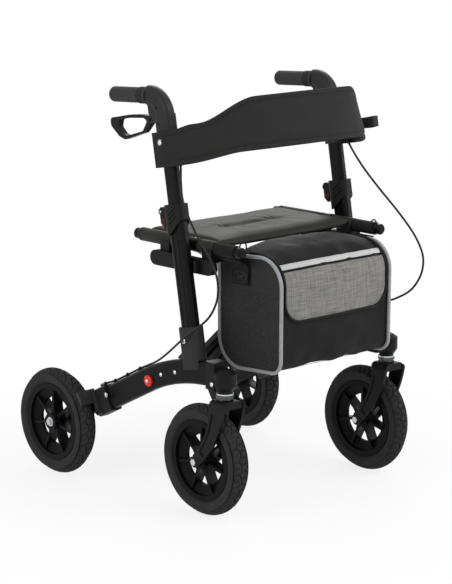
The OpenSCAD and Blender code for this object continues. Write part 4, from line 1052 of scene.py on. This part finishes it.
class ROLLATOR_OT_webbing(bpy.types.Operator):
    """Fold strap, bag loops and the cane loop"""

    bl_idname = "rollator.webbing"
    bl_label = "Webbing"

    def execute(self, context):
        web = context.scene.rollator_sizes.web_thickness
        strap = self.fold_strap(web)
        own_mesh(strap)
        for side, sign in SIDES:
            self.rail_loop(side, sign, web)
            tab = self.bag_tab(side, sign, web)
            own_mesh(tab)
        self.cane_loop(web)
        return {"FINISHED"}

    def ribbon(self, bm, points, across, web):
        """A flat ribbon along points, with thickness."""
        first = [bm.verts.new(points[0] - across), bm.verts.new(points[0] + across)]
        edge = bm.edges.new(first)
        for a, b in zip(points, points[1:]):
            grown = bmesh.ops.extrude_edge_only(bm, edges=[edge])
            verts = [g for g in grown["geom"] if isinstance(g, bmesh.types.BMVert)]
            bmesh.ops.translate(bm, verts=verts, vec=b - a)
            edge = next(g for g in grown["geom"] if isinstance(g, bmesh.types.BMEdge) and all(
                v in verts for v in g.verts))
        bmesh.ops.recalc_face_normals(bm, faces=bm.faces)
        bmesh.ops.solidify(bm, geom=list(bm.faces), thickness=web)

    def fold_strap(self, web):
        low, high = corners("seat_pad")
        mid = (low.x + high.x) / 2
        top = high.z - 0.0075
        line = []
        for k in range(-30, 31):
            y = 0.084 * k / 30
            dip = 0.012 * smooth_step(0.068, 0.084, abs(y))
            line.append(Vector((mid, y, top + 0.0022 * math.cos(y * 14) - dip)))
        bm = bmesh.new()
        self.ribbon(bm, line, Vector((0.0135, 0, 0)), web)
        for edge in (-0.0115, 0.0115):
            seam = [p + Vector((edge, 0, 0.0006)) for p in line[6:-6]]
            add_stitches(bm, seam, 0.0032, 0.0016, 0.0005)
        return piece("fold_strap", bm, ("webbing",), "right_rail", ("webbing_straps",), 60)

    def rail_loop(self, side, sign, web):
        """The loop of webbing round a rail's front end, with its wire clip."""
        bm = bmesh.new()
        centre = Vector((STRAP_X, sign * RAIL_Y, RAIL_Z))
        ring = []
        for k in range(33):
            turn = 2 * math.pi * k / 32
            ring.append(centre + Vector((0, math.sin(turn), math.cos(turn))) * (RAIL_R + 0.0014 + web / 2))
        self.ribbon(bm, ring, Vector((0.0315, 0, 0)), web)
        tidy(bm, 1e-5)
        clip = []
        for k in range(24):
            turn = 2 * math.pi * k / 24
            y = RAIL_Y - 0.013 + 0.010 * math.cos(turn)
            clip.append(Vector((0.2905, sign * y, RAIL_Z + 0.010 + 0.013 * math.sin(turn))))
        add_tube(bm, clip, 0.0017, True, 8)
        piece(f"{side}_rail_loop", bm, ("webbing",), f"{side}_rail", sharp=60)

    def bag_tab(self, side, sign, web):
        """The tab from a rail's loop down the bag's side, with its boxed cross of stitches."""
        high = corners("storage_bag")[1]
        face = high.y + 0.0035
        x = STRAP_X
        knots = [
            Vector((x, sign * (RAIL_Y - 0.004), RAIL_Z - 0.0170)),
            Vector((x, sign * (RAIL_Y - 0.017), RAIL_Z - 0.0240)),
            Vector((x, sign * (face + 0.005), high.z - 0.028)), Vector((x, sign * face, high.z - 0.040)),
            Vector((x, sign * (face + 0.0006), high.z - 0.056)), Vector((x, sign * face, high.z - 0.074)),
        ]
        line = through(knots, 6)
        bm = bmesh.new()
        self.ribbon(bm, line, Vector((0.026, 0, 0)), web)
        for v in bm.verts:
            v.co.x = x + (v.co.x - x) * (1 + 0.2 * smooth_step(high.z - 0.04, high.z, v.co.z))
        out = sign * (face + 0.0016)
        box = [Vector((x + dx, out, high.z + dz)) for dx, dz in (
            (-0.019, -0.046), (0.019, -0.046), (0.019, -0.069), (-0.019, -0.069), (-0.019, -0.046))]
        lines = list(zip(box, box[1:])) + [(box[0], box[2]), (box[1], box[3])]
        plain = len(bm.faces)
        for a, b in lines:
            add_stitches(bm, [a, b], 0.0030, 0.0010, 0.0010)
        for sewn in list(bm.faces)[plain:]:
            sewn.material_index = 1
        return piece(f"{side}_bag_tab", bm, ("webbing", "loop"), "right_rail", sharp=60)

    def cane_loop(self, web):
        """A soft loop of webbing on the left handle."""
        low, high = corners("cane_loop")
        length, depth = 0.110, high.y - low.y
        line = []
        for k in range(64):
            turn = 2 * math.pi * k / 64
            c, s = math.cos(turn), math.sin(turn)
            x = 0.043 + (length / 2 - web) * math.copysign(abs(c) ** 0.75, c)
            y = (low.y + high.y) / 2 + (depth / 2 - web * 0.7) * math.copysign(abs(s) ** 0.6, s)
            sag = 0.0015 * math.sin(turn * 2)
            line.append(leaning(x, y, 0.457 + 0.031 + 0.0125 + sag))
        bm = bmesh.new()
        up = leaning(0, 0, 1) - leaning(0, 0, 0)
        self.ribbon(bm, line + line[:1], up * 0.0122, web)
        tidy(bm, 1e-5)
        piece("cane_webbing", bm, ("loop",), "left_handle", ("cane_loop",), 60)


class ROLLATOR_OT_cables(bpy.types.Operator):
    """Brake cables from the handles to the rear brakes"""

    bl_idname = "rollator.cables"
    bl_label = "Cables"

    right_route = (
        (150, 262, 790), (158, 268, 770), (170, 278, 742), (187, 286, 702), (229, 290, 644), (272, 290, 598),
        (296, 290, 560), (302, 290, 528), (295, 290, 496), (272, 290, 462), (236, 290, 434), (194, 289, 406),
        (150, 284, 374), (110, 274, 348),
    )
    left_route = (
        (150, 262, 790), (160, 266, 768), (186, 278, 726), (228, 286, 682), (292, 290, 628), (338, 290, 586),
        (364, 290, 550), (371, 290, 520), (362, 290, 486), (334, 290, 450), (290, 290, 424), (236, 290, 402),
        (180, 287, 378), (120, 275, 352),
    )

    def execute(self, context):
        radius = context.scene.rollator_sizes.cable_radius
        for (side, sign), route in zip(SIDES, (self.right_route, self.left_route)):
            points = [Vector((x, sign * y, z)) / 1000 for x, y, z in route]
            lie = [Vector((0.0574, sign * FRAME_Y, 0.3197))]
            lie += [self.on_beam(run / 1000, CABLE_RISE, sign) for run in (310, 260, 210)]
            held = [self.on_beam(0.186, 0.0338, sign), self.on_beam(0.1663, 0.0365, sign)]
            line = through(points + lie + held, 5)
            bm = bmesh.new()
            add_tube(bm, line, radius, False, 12)
            cable = piece(
                f"{side}_brake_cable", bm, ("sheath",), None, (f"{side}_cable",), 60)
            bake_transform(cable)
            self.ends(side, sign, line, radius)
        return {"FINISHED"}

    def on_beam(self, run, rise, sign):
        c, s = math.cos(BEAM_SLOPE), math.sin(BEAM_SLOPE)
        return Vector((REAR_AXLE.x + run * c - rise * s, sign * FRAME_Y, REAR_AXLE.z + run * s + rise * c))

    def ends(self, side, sign, line, radius):
        """The adjuster at the handle and the clips that hold the sheath on the beam."""
        bm = bmesh.new()
        start = line[0]
        along = (line[0] - line[4]).normalized()
        steps = (-0.012, -0.002, 0, 0.014, 0.016)
        add_tube(bm, [start + along * step for step in steps], radius * 1.75, False, 14)
        piece(f"{side}_cable_adjuster", bm, ("plastic",), f"{side}_handle")
        bm = bmesh.new()
        rise = Vector((-math.sin(BEAM_SLOPE), 0, math.cos(BEAM_SLOPE)))
        turn = Matrix.Rotation(-BEAM_SLOPE, 4, "Y")
        for run in (0.305, 0.255, 0.205):
            hub = self.on_beam(run, CABLE_RISE, sign)
            ring = [hub + rise * (0.0036 * math.sin(a)) + Vector((0, 0.0040 * math.cos(a), 0))
                    for a in (k * math.pi / 8 for k in range(16))]
            add_tube(bm, ring, 0.0013, True, 6)
            foot = bmesh.ops.create_cube(
                bm, size=1, matrix=Matrix.Translation(self.on_beam(run, 0.0286, sign)) @ turn
                @ Matrix.Diagonal((0.010, 0.011, 0.0022, 1)))
            bevel(bm, list({e for v in foot["verts"] for e in v.link_edges}), 0.0007, 2)
        piece(f"{side}_cable_clips", bm, ("plastic",), f"{side}_frame")


class ROLLATOR_OT_fasteners(bpy.types.Operator):
    """Backrest bolts, lever screws, clamp screws and tyre valves"""

    bl_idname = "rollator.fasteners"
    bl_label = "Fasteners"

    # Name, look, body, slot, then place on the left side, radius and height of each head
    screws = (
        ("backrest_bolt", "zinc", "handle", "zinc", ((leaning(0.007, 0.2878, 0.511), 0.0058, 0.0040),)),
        ("handle_screws", "plastic", "handle", "black_plastic", (
            (leaning(-0.040, FRAME_Y + 0.0125, 0.565), 0.0036, 0.0022),
            (leaning(-0.006, FRAME_Y + 0.0168, 0.552), 0.0030, 0.0016),
            (leaning(-0.010, FRAME_Y + 0.0168, 0.588), 0.0024, 0.0014))),
        ("frame_screws", "zinc", "frame", "zinc", (
            (leaning(FLIP_X, FRAME_Y + 0.0123, FLIP_S), 0.0022, 0.0014),
            (Vector((-0.103, 0.2749, 0.2135)), 0.0050, 0.0034))),
    )

    def execute(self, context):
        for side, sign in SIDES:
            for name, look, body, slot, heads in self.screws:
                bm = bmesh.new()
                for place, radius, height in heads:
                    centre = Vector((place.x, sign * place.y, place.z))
                    dome(bm, centre, Vector((0, sign, 0)), radius, height)
                tidy(bm)
                piece(f"{side}_{name}", bm, (look,), f"{side}_{body}")
            self.flip_tip(side, sign)
            self.swivel(side)
            self.grip_ribs(side, sign)
            for end in ("front", "rear"):
                self.valve(side, sign, end)
        return {"FINISHED"}

    def flip_tip(self, side, sign):
        """The dark red thumb end of a clamp's lever."""
        outline = ((9.4, -15), (6.4, -33.6), (1, -37.4), (-9.4, -26.2), (-9.4, -17))
        bm = bmesh.new()
        near = sign * FRAME_Y - 0.0074
        face = bm.faces.new([
            bm.verts.new(leaning(FLIP_X + x / 1000, near, FLIP_S + z / 1000)) for x, z in outline])
        grown = bmesh.ops.extrude_face_region(bm, geom=[face])
        far = [g for g in grown["geom"] if isinstance(g, bmesh.types.BMVert)]
        bmesh.ops.translate(bm, verts=far, vec=(0, 0.0148, 0))
        bevel(bm, list(bm.edges), 0.0012, 2)
        tidy(bm)
        piece(f"{side}_flip_tip", bm, ("flip",), f"{side}_flip")

    def swivel(self, side):
        """Bright steel bearing cups between a caster's head and its fork, given a painted dark reflection.
        """
        hub = middle(f"{side}_caster_stem")
        hub.z = corners(f"{side}_fork")[1].z
        section = [
            (0.0172, -0.0125), (0.0186, -0.0120), (0.0190, -0.0100), (0.0176, -0.0086), (0.0176, -0.0066),
            (0.0196, -0.0058), (0.0200, -0.0030), (0.0196, -0.0008), (0.0172, -0.0004),
        ]
        bm = bmesh.new()
        turned(bm, section, facing(hub, Vector((0, 0, 1))))
        tidy(bm)
        # Painted reflection: the steel finish's darkened colour stands in for the dark surroundings these
        # bright cups reflect.
        piece(f"{side}_swivel_bearing", bm, ("steel",), f"{side}_caster", sharp=30)

    def grip_ribs(self, side, sign):
        """Raised rings where a grip meets its handle."""
        start, end = Vector((0.04487, sign * FRAME_Y, 0.92324)), Vector((-0.08095, sign * FRAME_Y, 0.91664))
        along = (end - start).normalized()
        ring = ((0.0170, 0), (0.0190, 0.0007), (0.0190, 0.0027), (0.0170, 0.0034))
        bm = bmesh.new()
        for k in range(4):
            at = start + along * (0.010 + 0.0055 * k)
            turned(bm, ring, facing(at, along))
        tidy(bm)
        piece(f"{side}_grip_ribs", bm, ("grip",), f"{side}_handle", sharp=30)

    def valve(self, side, sign, end):
        """A tyre valve through the rim's barrel."""
        hub = middle(f"{side}_{end}_rim")
        turn = Matrix.Rotation(math.radians(64), 4, "Y")
        place = Matrix.Translation(hub) @ turn @ Matrix.Translation((0.0835, sign * 0.004, 0))
        place = place @ Matrix.Rotation(math.radians(-90), 4, "Y")
        section = [
            (0, 0.0), (0.0042, 0.0), (0.0042, 0.004), (0.0030, 0.008), (0.0030, 0.020), (0.0022, 0.021),
            (0.0022, 0.025), (0, 0.0255),
        ]
        bm = bmesh.new()
        turned(bm, section, place, 14)
        tidy(bm)
        piece(f"{side}_{end}_valve", bm, ("grip",), f"{side}_{end}_wheel")


class ROLLATOR_PT_panel(bpy.types.Panel):
    """The rollator's steps in the sidebar."""

    bl_idname = "ROLLATOR_PT_panel"
    bl_label = "Rollator"
    bl_space_type = "VIEW_3D"
    bl_region_type = "UI"
    bl_category = "Rollator"

    def draw(self, context):
        for group in (context.scene.rollator_sizes, context.scene.rollator_colours):
            for name in group.__annotations__:
                self.layout.prop(group, name)
        for step in STEPS:
            self.layout.operator(step.bl_idname)


STEPS = (
    ROLLATOR_OT_stage, ROLLATOR_OT_cables, ROLLATOR_OT_frame_finishes, ROLLATOR_OT_tyres, ROLLATOR_OT_seat,
    ROLLATOR_OT_bag, ROLLATOR_OT_backrest, ROLLATOR_OT_webbing, ROLLATOR_OT_fasteners,
)
CLASSES = (RollatorSizes, RollatorColours, *STEPS, ROLLATOR_PT_panel)


def register():
    for one in CLASSES:
        bpy.utils.register_class(one)
    bpy.types.Scene.rollator_sizes = bpy.props.PointerProperty(type=RollatorSizes)
    bpy.types.Scene.rollator_colours = bpy.props.PointerProperty(type=RollatorColours)


def unregister():
    del bpy.types.Scene.rollator_colours
    del bpy.types.Scene.rollator_sizes
    for one in reversed(CLASSES):
        bpy.utils.unregister_class(one)


def main():
    register()
    bpy.ops.rollator.stage()
    bpy.ops.rollator.cables()
    bpy.ops.rollator.frame_finishes()
    bpy.ops.rollator.tyres()
    bpy.ops.rollator.seat()
    bpy.ops.rollator.bag()
    bpy.ops.rollator.backrest()
    bpy.ops.rollator.webbing()
    bpy.ops.rollator.fasteners()


if __name__ == "__main__":
    main()
